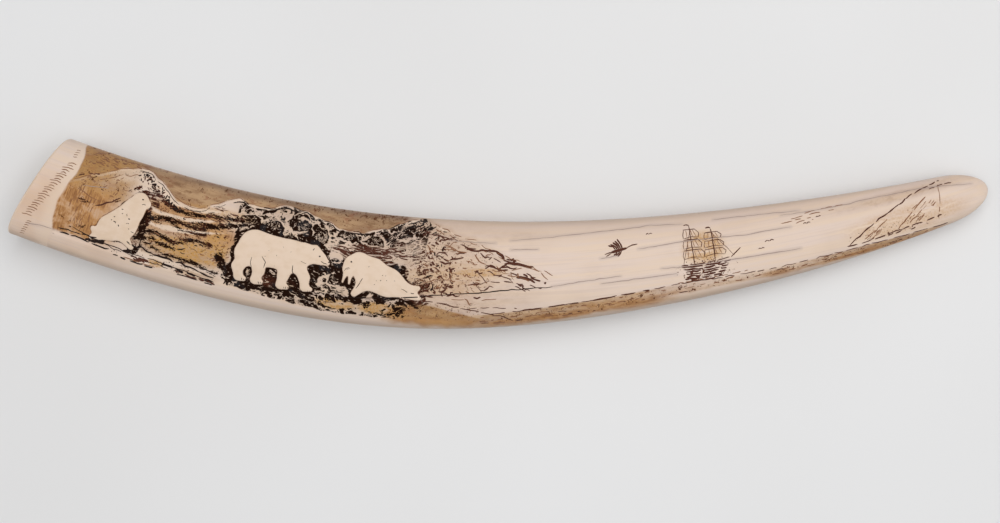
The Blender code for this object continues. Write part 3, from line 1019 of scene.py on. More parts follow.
        # Bare ivory and patina, then the pale raised figures with a worn line round them
        bare = self.bare_ivory(graph, place, s, v, colours)
        tone = self.patina(graph, bare, s, v, (tan, brown, ochre), pale, fine, colours)
        raised = edge.fall(-0.15, 0.15) * land.rise(0, 0.3) * on_top
        stain = (graph.sheet_noise(s * 0.2, v * 0.25, 9, 3) + s.fall(60, 100) * 0.12).rise(0.42, 0.75)
        tone = graph.mix(raised, tone, graph.mix(stain * 0.3, colours.cream, (0.60, 0.42, 0.26)))
        contour = (figure - 0.25 + fleck * 0.5).size().fall(0.10, 0.28) * land.rise(0, 0.3)
        tone = graph.mix(contour * wobble.rise(-0.15, 0.0) * 0.8 * on_top, tone, (0.16, 0.062, 0.028))

        # Ink round the figures, and the valley's streaks
        strata = graph.sheet_noise(drift_s * 0.09, drift_v * 0.95, 61, 3, 0.6)
        reddened = red.rise(0.3, 0.6)
        near = figure + wobble * 2.6 + fleck * 1.8 - coarse.rise(-0.12, 0.12) * 3.4
        line = (near + (1 - outline) * 4.0).fall(1.0, 1.5) * (1 - reddened * strata.rise(0.53, 0.57) * 0.85)
        drawn = graph.sheet_noise(drift_s * 0.10, drift_v * 0.5, 0, 4, 0.72) - 0.5
        band = (streak + 0.2 + drawn * 7.0 + fleck * 3.6).fall(0.0, 0.5)

        # Blots between pale veins, and boulders with pale rims and curled threads
        bend = graph.sheet_noise(s, v, 31, 2, scale=0.22) - 0.5
        sway = graph.sheet_noise(s, v, 37, 2, scale=0.30) - 0.5
        flow_s, flow_v = drift_s + bend * 10.0, drift_v + sway * 7.0
        large = graph.cells(graph.vector(flow_s * 0.13, flow_v * 0.21))
        small = graph.cells(graph.vector(flow_s * 0.38, flow_v * 0.55))
        gap = 0.02 + graph.sheet_noise(s, v, 41, 1, scale=0.3).rise(0.35, 0.7) * 0.07
        grainy = graph.sheet_noise(s, v, 43, 1, scale=0.12)
        veined = (large - gap + fleck * 0.12).rise(0.0, 0.04)
        veined = veined * (small + fleck * 0.1).rise(0.09, 0.15).at_least(grainy.fall(0.50, 0.56))
        blot = veined * (blots + coarse * 0.9).rise(0.40, 0.50)
        lumpy = boulder + bend * 4.0 + wobble * 1.6 + fleck * 0.7
        hewn = blots.rise(0.05, 0.4)
        rim = lumpy.fall(0.75, 1.0) * hewn * grainy.rise(0.40, 0.46)
        thread = (graph.sheet_noise(flow_s, flow_v, 47, 3, 0.6, scale=0.30) - 0.5).size()
        stone = lumpy.fall(-0.1, 0.15) * hewn * (1 - thread.fall(0.012, 0.024) * lumpy.fall(-1.2, -0.5))
        blot = (blot * (1 - rim)).at_least(stone) * (1 - reddened * strata.rise(0.47, 0.52))

        # Masses below the figures, and stray threads and dots
        mass = graph.sheet_noise(flow_s * 0.12, flow_v * 0.36, 4, 2, 0.6) - 0.5
        low = (under + mass * 3.0 + fleck * 0.8).rise(0.44, 0.52)
        low = low * (large - gap * 0.6 + fleck * 0.1).rise(0.0, 0.04)
        torn = graph.sheet_noise(s, v, 53, 2, scale=0.5)
        threads = thread.fall(0.026, 0.046) * (torn + flecked * 0.34).rise(0.66, 0.72)
        dots = (graph.sheet_noise(s, v, 59, 2, 0.6, scale=0.9) + flecked * 0.13).rise(0.68, 0.72)
        stray = threads.at_least(dots) * flecked.rise(0.02, 0.12) * (1 - pale.rise(0.5, 0.9) * 0.85)

        # All the ink, kept to the cut ground, chipped, and clear of the figures
        dark = line.at_least(band).at_least(blot).at_least(low)
        dark = dark * (land + wobble * 1.2 + coarse * 3.0).rise(0.3, 0.7) * land.rise(0.0, 0.2)
        chips = graph.sheet_noise(drift_s * 0.4, drift_v * 0.95, 7, 3, 0.65).rise(0.60, 0.645)
        dark = dark * (1 - chips * 0.9)
        flecks = (stray - dark).at_least(0.0)
        dark = dark.at_least(stray) * edge.rise(0.05, 0.3) * on_top

        # The ink's colour: slate in places, russet where it is red, and faded at both ends
        slate = graph.sheet_noise(s, v, 15, 1, scale=0.16).rise(0.57, 0.68)
        ink = graph.mix(slate * 0.8, colours.ink, (0.020, 0.017, 0.018))
        ink = graph.mix((red + coarse).rise(0.35, 0.7) * fleck.rise(-0.15, 0.1), ink, colours.russet)
        faded = s.rise(206, 250).at_least(1 - land.rise(-0.5, 0.5)).at_least(s.fall(46, 58))
        ink = graph.mix(faded * fleck.rise(-0.2, 0.2), ink, (0.10, 0.036, 0.017))
        ink = graph.mix(flecks * 0.75, ink, (0.13, 0.045, 0.02))
        tone = graph.mix(dark, tone, ink)
        tone = graph.mix(graph.attribute("root_face"), tone, self.root_face(graph, place, colours))

        height = fine * 0.12 - dark * 0.6 - brown * 0.2 + raised * 0.4
        bump = graph.node("ShaderNodeBump", None, {"Strength": 0.4, "Distance": 0.0002, "Height": height})
        return graph.finish(
            Base_Color=tone, Roughness=0.38 + 0.14 * fine + 0.12 * tan + 0.2 * dark, Normal=bump, IOR=1.54,
            Specular_IOR_Level=0.05, Coat_Weight=(1 - dark) * 0.3, Coat_Roughness=0.28)

    def root_face(self, graph, place, colours):
        """Faint yearly rings round a marbled core, as a sawn tusk shows."""
        core = graph.attribute("core")
        uneven = graph.noise(place, 70, 3)
        rings = (core * 52 + uneven * 7).sine().rise(-0.8, 1.0)
        plain = graph.mix(rings * 0.35, colours.cream, (0.55, 0.39, 0.25))
        marbled = graph.cells(place, 330).fall(0.05, 0.32) * 0.8
        marble = graph.mix(marbled, (0.60, 0.45, 0.31), (0.36, 0.23, 0.13))
        return graph.mix((core + (uneven - 0.5) * 0.5).rise(0.38, 0.46), plain, marble)

    def bare_ivory(self, graph, place, s, v, colours):
        """Long faint grain, darker clouds, a yellower root, and painted shade: darker over the upper side and
        darker along both long sides.
        """
        z = graph.parts(place)[2]
        grain = graph.sheet_noise(s * 0.015, v * 0.35, z * 200, 3)
        cloudy = graph.noise(place, 35, 3)
        bare = graph.mix(grain.rise(0.3, 0.7), colours.ivory, colours.cream)
        aged = s.fall(8, 80) * cloudy.rise(0.3, 0.7) * v.fall(2, 22)
        bare = graph.mix(aged * 0.75, bare, (0.66, 0.44, 0.29))
        # Painted shade: the upper side darker, as where the light falls off towards the top
        upper = (v + s.rise(250, 500) * 12.0).rise(10, 28) * s.rise(14, 28)
        bare = graph.mix(upper * 0.23, bare, (0.45, 0.29, 0.22))
        # Painted shade: both long sides darker near the outline, the lower one more, as where the light falls
        # off
        # The half width shrinks by 0.053 of the length past 225 mm
        narrowed = (s - 225.0).at_least(0.0) * 0.053
        painted_edge_shade = ((narrowed - v).rise(25.3, 30.3) * 0.72).at_least((narrowed + v).rise(26.5, 31.0) * 0.45)
        bare = graph.mix(painted_edge_shade, bare, (0.36, 0.25, 0.17))
        streaks = graph.sheet_noise(s * 0.012, v * 1.1, z * 300, 2)
        bare = graph.mix(streaks.rise(0.5, 0.72) * 0.35, bare, (0.60, 0.47, 0.41))
        # Painted shade: greyer in a soft band round each age crack
        painted_crack_shade = (graph.attribute("cracks") + (cloudy - 0.5) * 1.5).fall(0.1, 1.7)
        bare = graph.mix(painted_crack_shade * 0.4, bare, (0.47, 0.38, 0.34))
        return graph.mix(cloudy.rise(0.45, 0.75) * 0.3, bare, colours.dull)

    def patina(self, graph, bare, s, v, tones, pale, fine, colours):
        """Tan sky, brushed brown ground and ochre patches, washed unevenly over the ivory."""
        tan, brown, ochre = tones
        smear = graph.sheet_noise(s * 0.06, v * 0.26, 0, 4, 0.6)
        old = graph.mix(smear.rise(0.38, 0.64), colours.tan, (0.45, 0.275, 0.14))
        share = (tan * (0.75 + smear * 0.6)).at_most(1.0) * (0.88 + 0.12 * fine)
        tone = graph.mix(share, bare, old)
        soot = s.fall(44, 78).at_least(s.rise(165, 198) * 0.5 * s.fall(212, 222))
        soot = soot * smear.rise(0.2, 0.6) * 0.55
        soot = soot.at_least(v.rise(25.5, 29.0) * s.rise(55, 90) * s.fall(206, 214) * 0.42)
        tone = graph.mix(tan * soot, tone, (0.12, 0.068, 0.046))
        dusk = s.fall(60, 95).at_least(s.rise(160, 190))
        spotted = graph.sheet_noise(s * 0.16, v * 0.3, 2, 4, 0.68) + dusk * 0.07
        spotted = (spotted + s.fall(34, 62) * v.rise(16, 24) * 0.07).rise(0.53, 0.68)
        warm = graph.sheet_noise(s * 0.07, v * 0.1, 6, 1)
        smudge = graph.mix(warm.rise(0.4, 0.6), (0.17, 0.08, 0.034), (0.24, 0.085, 0.04))
        tone = graph.mix(tan * spotted * 0.62, tone, smudge)
        brushed = graph.sheet_noise(s * 1.5, v * 0.14, 0, 4, 0.65)
        level = graph.sheet_noise(s * 0.12, v * 0.8, 8, 4, 0.65)
        brushed = brushed + (level - brushed) * s.rise(195, 215)
        blots = graph.sheet_noise(s * 0.10, v * 0.14, 5, 3, 0.6)
        share = brown * (0.5 + brushed.rise(0.3, 0.7) * 0.3 + blots.rise(0.35, 0.6) * 0.5).at_most(1.0)
        tone = graph.mix(share, tone, colours.brown)
        deep = (blots + s.fall(20, 46) * 0.08 + s.rise(240, 280) * 0.08).rise(0.47, 0.64)
        deep = brown * deep * brushed.rise(0.38, 0.60)
        tone = graph.mix(deep * (0.68 + v.rise(4, 12) * 0.2), tone, (0.16, 0.052, 0.017))
        grainy = smear.rise(0.22, 0.52) * (0.6 + 0.4 * fine.rise(0.4, 0.6))
        tone = graph.mix(ochre * grainy, tone, colours.ochre)
        return graph.mix(pale * (0.65 + 0.35 * smear), tone, colours.cream)


def toward(angle, length):
    """A step of some length in some direction."""
    return length * np.array([np.cos(angle), np.sin(angle)])


def path_reach(path):
    """Length along a path at each of its places."""
    return np.concatenate([[0], np.cumsum(np.hypot(*np.diff(path, axis=0).T))])


def path_places(path, lengths):
    """Places of a path at some lengths along it."""
    reach = path_reach(path)
    return np.stack([np.interp(lengths, reach, column) for column in path.T], -1)


class Strokes:
    """Hand-drawn strokes on the sheet, kept as paths of evenly spaced places with widths."""

    STATIONS = (5, 8, 12, 20, 32, 56, 100)
    SPACING = 1.1
    KNOT_SPACING = 3

    # The section of a line: places across its width, and millimetres off the skin
    ACROSS = np.array([-0.5, -0.27, 0.27, 0.5, 0.0])
    LIFT = np.array([0.010, 0.030, 0.030, 0.010, -0.30])

    def __init__(self, seed):
        self.random = np.random.default_rng(seed)
        self.batches = {}

    def add(self, path, width, shake=0.12, taper=0.3):
        """Add a stroke through some places, with an unsteady hand and thinner ends."""
        path = np.asarray(path, float)
        total = path_reach(path)[-1]
        wanted = total / self.SPACING + 3
        count = next((n for n in self.STATIONS if n >= wanted), self.STATIONS[-1])
        place = path_places(path, np.linspace(0, total, count))
        knots = max(3, int(total / self.KNOT_SPACING) + 2)
        at = np.linspace(0, knots - 1, count)
        for axis in (0, 1):
            place[:, axis] += shake * np.interp(at, np.arange(knots), self.random.normal(0, 1, knots))
        thick = width * (1 + 0.3 * np.interp(at, np.arange(knots), self.random.uniform(-1, 1, knots)))
        ends = np.sqrt(np.clip(1 - np.abs(np.linspace(-1, 1, count)) ** 4, 0, 1))
        self.batches.setdefault(count, []).append((place, thick * (taper + (1 - taper) * ends)))

    def dashes(self, path, width, dash, gap, shake=0.12):
        """Break a line into dashes of uneven length."""
        path = np.asarray(path, float)
        at, total = 0.0, path_reach(path)[-1]
        while at < total:
            end = min(at + dash * self.random.uniform(0.5, 1.6), total)
            self.add(path_places(path, np.linspace(at, end, 6)), width, shake)
            at = end + gap * self.random.uniform(0.3, 1.8)

    def scattered(self, centre, reach):
        """A random place in an ellipse."""
        turn, far = self.random.uniform(0, 2 * np.pi), np.sqrt(self.random.uniform())
        return np.array(centre) + np.array(reach) * far * (np.cos(turn), np.sin(turn))

    def fleck(self, at, shortest, longest):
        """Both ends of a short stroke at any angle round a place."""
        tilt = self.random.uniform(0, np.pi)
        half = toward(tilt, self.random.uniform(shortest, longest))
        return [at - half, at + half]

    def specks(self, count, centre, reach, size):
        """Scatter short dots in an ellipse."""
        for _ in range(count):
            at = self.scattered(centre, reach)
            ends = self.fleck(at, 0.4 * size, size)
            self.add(ends, size * self.random.uniform(0.6, 1.2), 0.0, 0.6)

    def hatch(self, count, centre, reach, length, width, tilt, spread=0.3, keep=None):
        """Scatter short strokes of about one direction in an ellipse, where keep allows."""
        for _ in range(count):
            at = self.scattered(centre, reach)
            if keep is not None and not keep(*at):
                continue
            angle = np.radians(tilt) + self.random.normal(0, spread)
            half = toward(angle, length / 2 * self.random.uniform(0.4, 1.4))
            bow = self.random.normal(0, 0.12) * np.array([-half[1], half[0]])
            self.add([at - half, at + bow, at + half], width * self.random.uniform(0.6, 1.4))

    def twig(self, start, angle, length, width, splits):
        """Draw a jagged line about one direction, which forks into shorter, thinner ones."""
        path = [np.array(start, float)]
        for _ in range(4):
            path.append(path[-1] + toward(angle + self.random.normal(0, 0.5), length / 4))
        self.add(path, width, 0.1)
        if splits:
            for index in (1, 3):
                if self.random.uniform() < 0.55:
                    turn = angle + self.random.choice((-1, 1)) * self.random.uniform(0.3, 0.6)
                    self.twig(path[index], turn, length * 0.5, width * 0.8, splits - 1)

    def mesh(self, name, form):
        """Carry a thin lens-shaped section along every stroke, closed at both ends."""
        around = len(self.ACROSS)
        points, faces, first = [], [], 0
        for count, batch in sorted(self.batches.items()):
            path, width = map(np.array, zip(*batch))
            tangent = np.gradient(path, axis=1)
            tangent /= np.maximum(np.hypot(tangent[..., 0], tangent[..., 1]), 1e-9)[..., None]
            side = np.stack([-tangent[..., 1], tangent[..., 0]], -1)
            sheet = path[:, :, None] + side[:, :, None] * (width[:, :, None] * self.ACROSS)[..., None]
            skin, normals = form.on_skin(sheet[..., 0], sheet[..., 1])
            points.append((skin + normals * (self.LIFT * MM)[:, None]).reshape(-1, 3))
            base = first + np.arange(len(batch))[:, None, None] * count * around
            ring = base + np.arange(count - 1)[None, :, None] * around
            j = np.arange(around)
            k = (j + 1) % around
            quads = np.stack([ring + j, ring + around + j, ring + around + k, ring + k], -1).reshape(-1, 4)
            start = (base[:, 0] + j).reshape(-1, around)
            end = (base[:, 0] + (count - 1) * around + j[::-1]).reshape(-1, around)
            faces += quads.tolist() + start.tolist() + end.tolist()
            first += len(batch) * count * around
        mesh = new_mesh(name, np.concatenate(points), faces)
        mesh.shade_smooth()
        return mesh


def add_strokes(context, name, strokes, tint):
    """Make one piece of ink lines in a plain colour."""
    material = Graph(name).finish(Base_Color=(*tint, 1), Roughness=0.55, Specular_IOR_Level=0.25)
    add_piece(strokes.mesh(name, tusk_form(context)), material)


def on_land(s, v):
    """Whether a place is on the cut ground, clear of figures."""
    return hill_line(s) - v > 1.2 and v - margin_line(s) > 0.6 and all_figures(s, v) > 0.4


def near_ridge(start, end, below):
    """Places a little below the ridge, from one length to another."""
    s = np.linspace(start, end, 60)
    return np.stack([s, hill_line(s) - below], -1)


class MakeBandMarks(bpy.types.Operator):
    """Make the rows of shallow strokes on the plain band at the root"""

    bl_idname = "tusk.band_marks"
    bl_label = "Band marks"

    def execute(self, context):
        marks = Strokes(3)
        # A leaning row of long, short and middling strokes, then short ones at both corners
        for index, v in enumerate(np.arange(-15.5, 19, 1.45)):
            s = 9.8 + 0.40 * v + marks.random.uniform(-0.3, 0.3)
            half = (3.0, 1.7, 2.3)[index % 3] * marks.random.uniform(0.9, 1.1)
            marks.add([(s - half, v - 0.5), (s, v + 0.25), (s + half, v - 0.1)], 0.44, 0.14)
        for v in np.arange(-26.5, -18.5, 1.3):
            s = 4.2 + 0.4 * (v + 22)
            marks.add([(s - 1.3, v - 0.3), (s, v + 0.1), (s + 1.3, v)], 0.38, 0.1)
        for v in np.arange(21.5, 26.5, 1.3):
            marks.add([(15.4, v - 0.2), (17.6, v + 0.2)], 0.34, 0.1)
        add_strokes(context, "Band_Marks", marks, context.scene.tusk_colours.line)
        return {"FINISHED"}


class MakeDarkLines(bpy.types.Operator):
    """Make the near-black engraved lines"""

    bl_idname = "tusk.dark_lines"
    bl_label = "Dark lines"

    def execute(self, context):
        ink = Strokes(5)
        self.valley(ink)
        self.ridge(ink)
        self.figures(ink)
        ink.add(DARK_CRACK, 0.55, 0.15)
        self.border(ink)
        add_strokes(context, "Dark_Lines", ink, context.scene.tusk_colours.ink)
        return {"FINISHED"}

    def valley(self, ink):
        """Long broken lines along the lower side, wedges, and flecks on the first hill's flank."""
        ink.dashes([(28, -13.8), (40, -16.5), (56, -17.8), (83, -18.9), (107, -21.0)], 0.5, 30, 1.2, 0.22)
        ink.dashes([(34, -15.4), (50, -18.3), (66, -19.6), (88, -20.6)], 0.35, 14, 2.5, 0.25)
        ink.dashes([(58, -13.2), (75.5, -15.0), (91, -16.8), (107, -19.4)], 0.9, 9, 0.8, 0.4)
        for s, v in ((41.5, -17.8), (56.5, -18.2)):
            for rise in (0.4, 1.3, 2.2):
                ink.add([(s, v), (s + 5.0, v + rise)], 1.1)
        for share in np.linspace(0, 1, 42):
            s = 53 + 30 * share + ink.random.normal(0, 0.8)
            v = hill_line(s) - 2.4 - abs(ink.random.normal(0, 2.0))
            ink.add(ink.fleck(np.array([s, v]), 0.5, 1.3), ink.random.uniform(0.5, 1.0))
        ink.hatch(14, (83, -3), (26, 10), 3.4, 0.5, 3, 0.3, on_land)

    def border(self, ink):
        """Thicker level strokes along the picture's lower border, at the left."""
        ink.dashes([(21, -17.0), (31, -16.6), (42, -15.6)], 0.7, 9, 1.2, 0.25)
        ink.dashes([(22, -18.9), (33, -18.8), (50, -19.9)], 0.8, 7, 1.6, 0.25)
        ink.hatch(7, (41, -17.6), (3, 0.8), 3.4, 0.9, 14, 0.12)
        ink.dashes([(52, -21.3), (63, -22.0), (74, -22.5)], 0.8, 5, 2.2, 0.2)
        ink.dashes([(78, -19.0), (88, -19.8), (106, -21.6)], 1.1, 7, 2.6, 0.3)
        ink.dashes([(87, -21.8), (97, -22.2), (106, -23.0)], 0.7, 8, 2.4, 0.15)

    def ridge(self, ink):
        """Lines under the ridge, and leaning dashes at its last peak."""
        ink.dashes(near_ridge(107, 216, 1.1), 0.7, 9, 2.2, 0.35)
        ink.dashes(near_ridge(112, 206, 0.1), 0.5, 6, 9, 0.2)
        ink.dashes(near_ridge(52, 103, 1.2), 0.35, 12, 2.5, 0.2)
        for s in np.arange(197, 222, 0.85):
            depth = ink.random.uniform(1.6, 7.5)
            v = hill_line(s) - depth
            ink.add([(s - 1.5, v - 1.1), (s + 1.5, v + 0.9)], ink.random.uniform(0.45, 0.95))
        ink.hatch(8, (222, 4), (5, 14), 3.0, 0.8, 80, 0.6, on_land)

    def figures(self, ink):
        """Eyes, mouths, ears, claws, joints and whiskers."""
        for s, v in ((59.8, 11.4), (159.2, 3.5), (176.3, 3.0)):
            ink.add([(s - 0.45, v), (s + 0.45, v)], 0.8, 0, 0.7)
        ink.add([(62.2, 9.0), (60.0, 8.6)], 0.3)
        ink.add([(163.8, 0.0), (161.7, 0.2), (160.3, 0.9)], 0.4)
        ink.add([(164.2, 1.5), (164.8, 0.9)], 0.9, 0, 0.7)
        ink.add([(155.0, 6.0), (155.9, 7.2)], 0.4)
        for s in (118.6, 127.5, 140.9, 153.5):
            for step in (2.0, 3.0, 4.0):
                ink.add([(s + step, -15.4), (s + step + 0.4, -16.6)], 0.32)
        ink.add([(123.9, -3.4), (123.5, -6.4), (124.7, -9)], 0.35)
        ink.add([(145.6, -3.4), (146.1, -6.6), (147.3, -9)], 0.35)
        ink.add([(128.9, -2), (131.5, -4.6), (131.1, -7.6)], 0.3)
        ink.add([(149.8, -0.5), (152.8, -1.4)], 0.25)
        for s, v in ((175.5, 0.2), (175.1, -0.6), (176.3, -0.4)):
            ink.add([(s, v), (s - 2.2, v - 1.4)], 0.2)
        ink.add([(183.1, -4.9), (181.9, -8), (180.1, -10.8)], 0.35)
        ink.dashes([(203.9, -8.6), (207.1, -10.3), (210.7, -11)], 0.35, 3, 1)
        ink.specks(14, (52, -3), (6, 7), 0.5)
        ink.specks(8, (191, -3), (10, 6), 0.35)
        ink.specks(6, (134, 0), (12, 6), 0.3)


class MakeBrownLines(bpy.types.Operator):
    """Make the russet and brown lines: thinning line-work, boat, birds, iceberg and shore"""

    bl_idname = "tusk.brown_lines"
    bl_label = "Brown lines"

    def execute(self, context):
        colours = context.scene.tusk_colours
        russet = Strokes(7)
        brown = Strokes(8)
        self.thinning(russet, brown)
        self.crag(russet, brown)
        self.hill_faces(russet, brown)
        self.goose(russet)
        self.boat(russet, brown)
        self.birds(russet)
        self.iceberg(russet, brown)
        self.shore(russet, brown)
        self.brushing(brown)
        add_strokes(context, "Russet_Lines", russet, colours.russet)
        add_strokes(context, "Brown_Lines", brown, colours.line)
        return {"FINISHED"}

    def thinning(self, russet, brown):
        """Wavering lines and ticks that thin out to the right of the figures."""
        for strokes, count, width in ((russet, 30, 0.6), (brown, 20, 0.45)):
            for _ in range(count):
                s = 213 + 64 * strokes.random.beta(0.9, 1.6)
                low, high = max(margin_line(s) + 6, -14), hill_line(s) - 1.5
                v = strokes.random.uniform(low, max(high, low + 1))
                splits = strokes.random.integers(0, 2)
                thick = width * strokes.random.uniform(0.7, 1.6)
                angle = strokes.random.normal(-0.2, 0.28)
                strokes.twig((s, v), angle, strokes.random.uniform(3, 9), thick, splits)
            strokes.specks(24, (236, 2), (20, 15), width * 0.8)
        brown.dashes(near_ridge(220, 284, 0.0), 0.45, 7, 2.0, 0.3)
        brown.dashes(near_ridge(222, 262, 2.2), 0.35, 4, 3.0, 0.3)
        russet.dashes([(203, -14.2), (222, -15.2), (238, -18.6), (256, -22.4), (262, -25.2)], 0.55, 9, 1.5)
        russet.dashes([(238, -18.4), (250, -17.6), (264, -18.4)], 0.45, 7, 2.6, 0.15)
        russet.hatch(56, (222, 2), (10, 15), 2.3, 0.8, -30, 0.6, on_land)
        brown.hatch(36, (234, 0), (18, 12), 2.0, 0.5, -15, 0.4, on_land)
        russet.dashes(near_ridge(222, 278, 4.6), 0.65, 6, 3.4, 0.5)
        brown.dashes(near_ridge(226, 272, 8.4), 0.6, 5, 3.6, 0.6)
        brown.dashes([(230, -13.2), (244, -13.8), (256, -13.0)], 0.4, 8, 5.0, 0.15)
        brown.specks(90, (224, -20.5), (22, 4.6), 0.35)

    def crag(self, russet, brown):
        """A rocky ledge of thick, ragged strokes where the line-work ends."""
        russet.add([(238, 13.8), (244, 12.2), (250, 12.8), (255, 12.0)], 1.1, 0.3)
        russet.add([(254, 12.2), (257, 9.6), (258.6, 7.4)], 1.7, 0.3)
        russet.add([(257.5, 8.0), (262, 6.2), (268, 4.4), (274, 3.2)], 1.3, 0.3)
        russet.hatch(14, (262, 6.6), (4, 1.6), 2.0, 0.8, -20, 0.5)
        russet.dashes([(255, 2.4), (264, 0.2), (272, -2.4), (280, -5.6)], 0.9, 5, 1.6, 0.35)
        russet.dashes([(250, -3.4), (261, -4.2), (270, -5.8), (277, -8.4)], 0.6, 4, 2.2, 0.35)
        russet.add([(264.5, -1.6), (269, -2.8), (274, -5.0)], 1.7, 0.3, 0.1)
        brown.dashes([(262, 1.8), (270, 3.4), (277, 0.6), (281, -4.2)], 0.45, 6, 0.8, 0.2)

    def hill_faces(self, russet, brown):
        """Lines along the hills' faces, the ridge and the lower border, and stripes over the walrus."""
        russet.hatch(40, (95, 14), (20, 5), 3.6, 0.38, 0, 0.25, on_land)
        brown.hatch(36, (87, 0), (30, 14), 3.0, 0.45, 5, 0.4, on_land)
        russet.hatch(56, (187, 8.5), (21, 3.6), 6.5, 0.5, -2, 0.14, on_land)
        brown.dashes(near_ridge(21, 214, -0.3), 0.35, 16, 2.0, 0.15)
        brown.dashes(near_ridge(34, 66, 3.5), 0.35, 5, 3.0, 0.3)
        brown.hatch(16, (42, 15), (12, 8), 2.2, 0.35, 20, 0.7, on_land)
        russet.dashes([(22.5, 13.0), (27, 16.0), (33, 17.4)], 0.7, 3, 1.0, 0.3)
        russet.add([(37.0, 0.6), (40.5, 3.6), (44.5, 5.8), (48.5, 8.6)], 0.75, 0.3, 0.1)
        russet.dashes([(27, 28.6), (38, 29.2), (52, 29.4), (66, 28.8)], 0.5, 6, 2.5, 0.3)
        brown.hatch(22, (34, 25.6), (9, 3.2), 2.6, 0.5, -4, 0.12)
        brown.hatch(9, (48, 28.2), (9, 1.2), 3.0, 0.5, -2, 0.1)
        russet.hatch(16, (66.5, -19.9), (3.4, 0.9), 2.6, 0.8, -4, 0.1)
        russet.dashes([(86, -20.6), (97, -21.2), (107, -22.0)], 1.1, 5, 1.6, 0.3)
        brown.dashes([(58, -21.0), (66, -21.3), (76, -21.6)], 0.5, 6, 2.4, 0.1)
        russet.hatch(26, (62, 19), (8, 6), 1.8, 0.6, 120, 0.8, on_land)

    def goose(self, russet):
        """A small goose in flight: a plump body, an outstretched neck and two broad wings."""
        russet.add([(316, 7.4), (320.5, 8.4), (325.5, 9.2)], 1.5, 0.1, 0.2)
        russet.add([(325, 9.2), (328, 10.4), (331, 10.5)], 0.6, 0.08)
        russet.add([(316.4, 7.5), (312.6, 6.9)], 0.6, 0.1)
        russet.add([(316.4, 7.2), (313.4, 5.7)], 0.45, 0.1)
        for step in range(5):
            s = 318.8 + 0.95 * step
            tip = (s - 3.9 + 0.35 * step, 11.4 + 0.75 * step)
            russet.add([(s, 8.6), (s - 1.0, 10.6 + 0.3 * step), tip], 0.95, 0.06, 0.15)
        for step in range(3):
            s = 320.0 + 1.0 * step
            russet.add([(s, 8.4), (s - 0.8, 6.8), (s - 2.6, 5.9 - 0.5 * step)], 0.8, 0.06, 0.15)

    def boat(self, russet, brown):
        """A two-masted boat: planked hull, masts with three billowing sails each, and its shadow."""
        for step in range(7):
            v = -5.4 - 1.25 * step
            plank = [(353.0 + 0.75 * step, v), (366, v - 0.5), (379.8 - 0.95 * step, v + 0.3)]
            russet.dashes(plank, 0.85, 8, 1.0, 0.16)
        russet.dashes([(353, -4.2), (366, -4.7), (380, -3.4)], 0.6, 6, 1)
        russet.add([(380, -3.6), (383.5, -1.2), (386, 0.6)], 0.5)
        for s, top in ((360.0, 16.8), (371.5, 13.6)):
            russet.add([(s, -5), (s + 0.3, top)], 0.6, 0.12)
            yards = np.linspace(-1.6, top - 1.8, 4)
            for low, high in zip(yards[:-1], yards[1:]):
                self.sail(russet, brown, s, low, high - 0.5)
            russet.add([(s + 0.3, top), (s - 1.0, top + 0.5), (s - 2.6, top + 0.2)], 0.7, 0.05, 0.1)
        russet.add([(354, -4.5), (360.5, 15)], 0.25)
        russet.add([(382, -3), (371, 12)], 0.25)
        russet.specks(16, (366, -3.0), (11, 1.0), 0.4)
        russet.hatch(14, (358, -10), (4, 3.4), 2.2, 0.9, 0, 0.2)
        brown.dashes([(350, -13.2), (388, -12.4)], 0.5, 4, 1.5)

    def sail(self, russet, brown, s, low, high):
        """One square sail on a mast at s: a yard above, bowed sides and foot, and three seams."""
        wide, narrow = 5.5 - 0.14 * low, 5.0 - 0.14 * high
        middle = (low + high) / 2
        russet.add([(s - narrow - 0.4, high + 0.1), (s + narrow + 0.4, high - 0.1)], 0.5, 0.1)
        russet.add([(s - narrow, high), (s - wide + 0.3, middle), (s - wide + 0.4, low + 0.4)], 0.35, 0.06)
        russet.add([(s + narrow, high - 0.1), (s + wide + 0.9, middle), (s + wide, low + 0.2)], 0.45, 0.06)
        russet.add([(s - wide + 0.4, low + 0.4), (s, low + 1.1), (s + wide, low + 0.2)], 0.35, 0.06)
        for share in (-0.55, 0.2, 0.62):
            brown.add([(s + share * narrow, high - 0.3), (s + share * wide + 0.5, low + 0.9)], 0.35, 0.08)

    def birds(self, russet):
        """Small far-off birds, each two shallow bowed wings."""
        flock = ((402, 1.0, 2.6), (424, 6.4, 2.0), (397, -2.2, 1.7), (431, 8.6, 1.5), (338, 15, 1.7))
        for s, v, size in flock:
            for side in (-1, 1):
                wing = [(s, v), (s + side * size * 0.5, v + size * 0.28), (s + side * size, v + size * 0.05)]
                russet.add(wing, 0.5, 0.05)

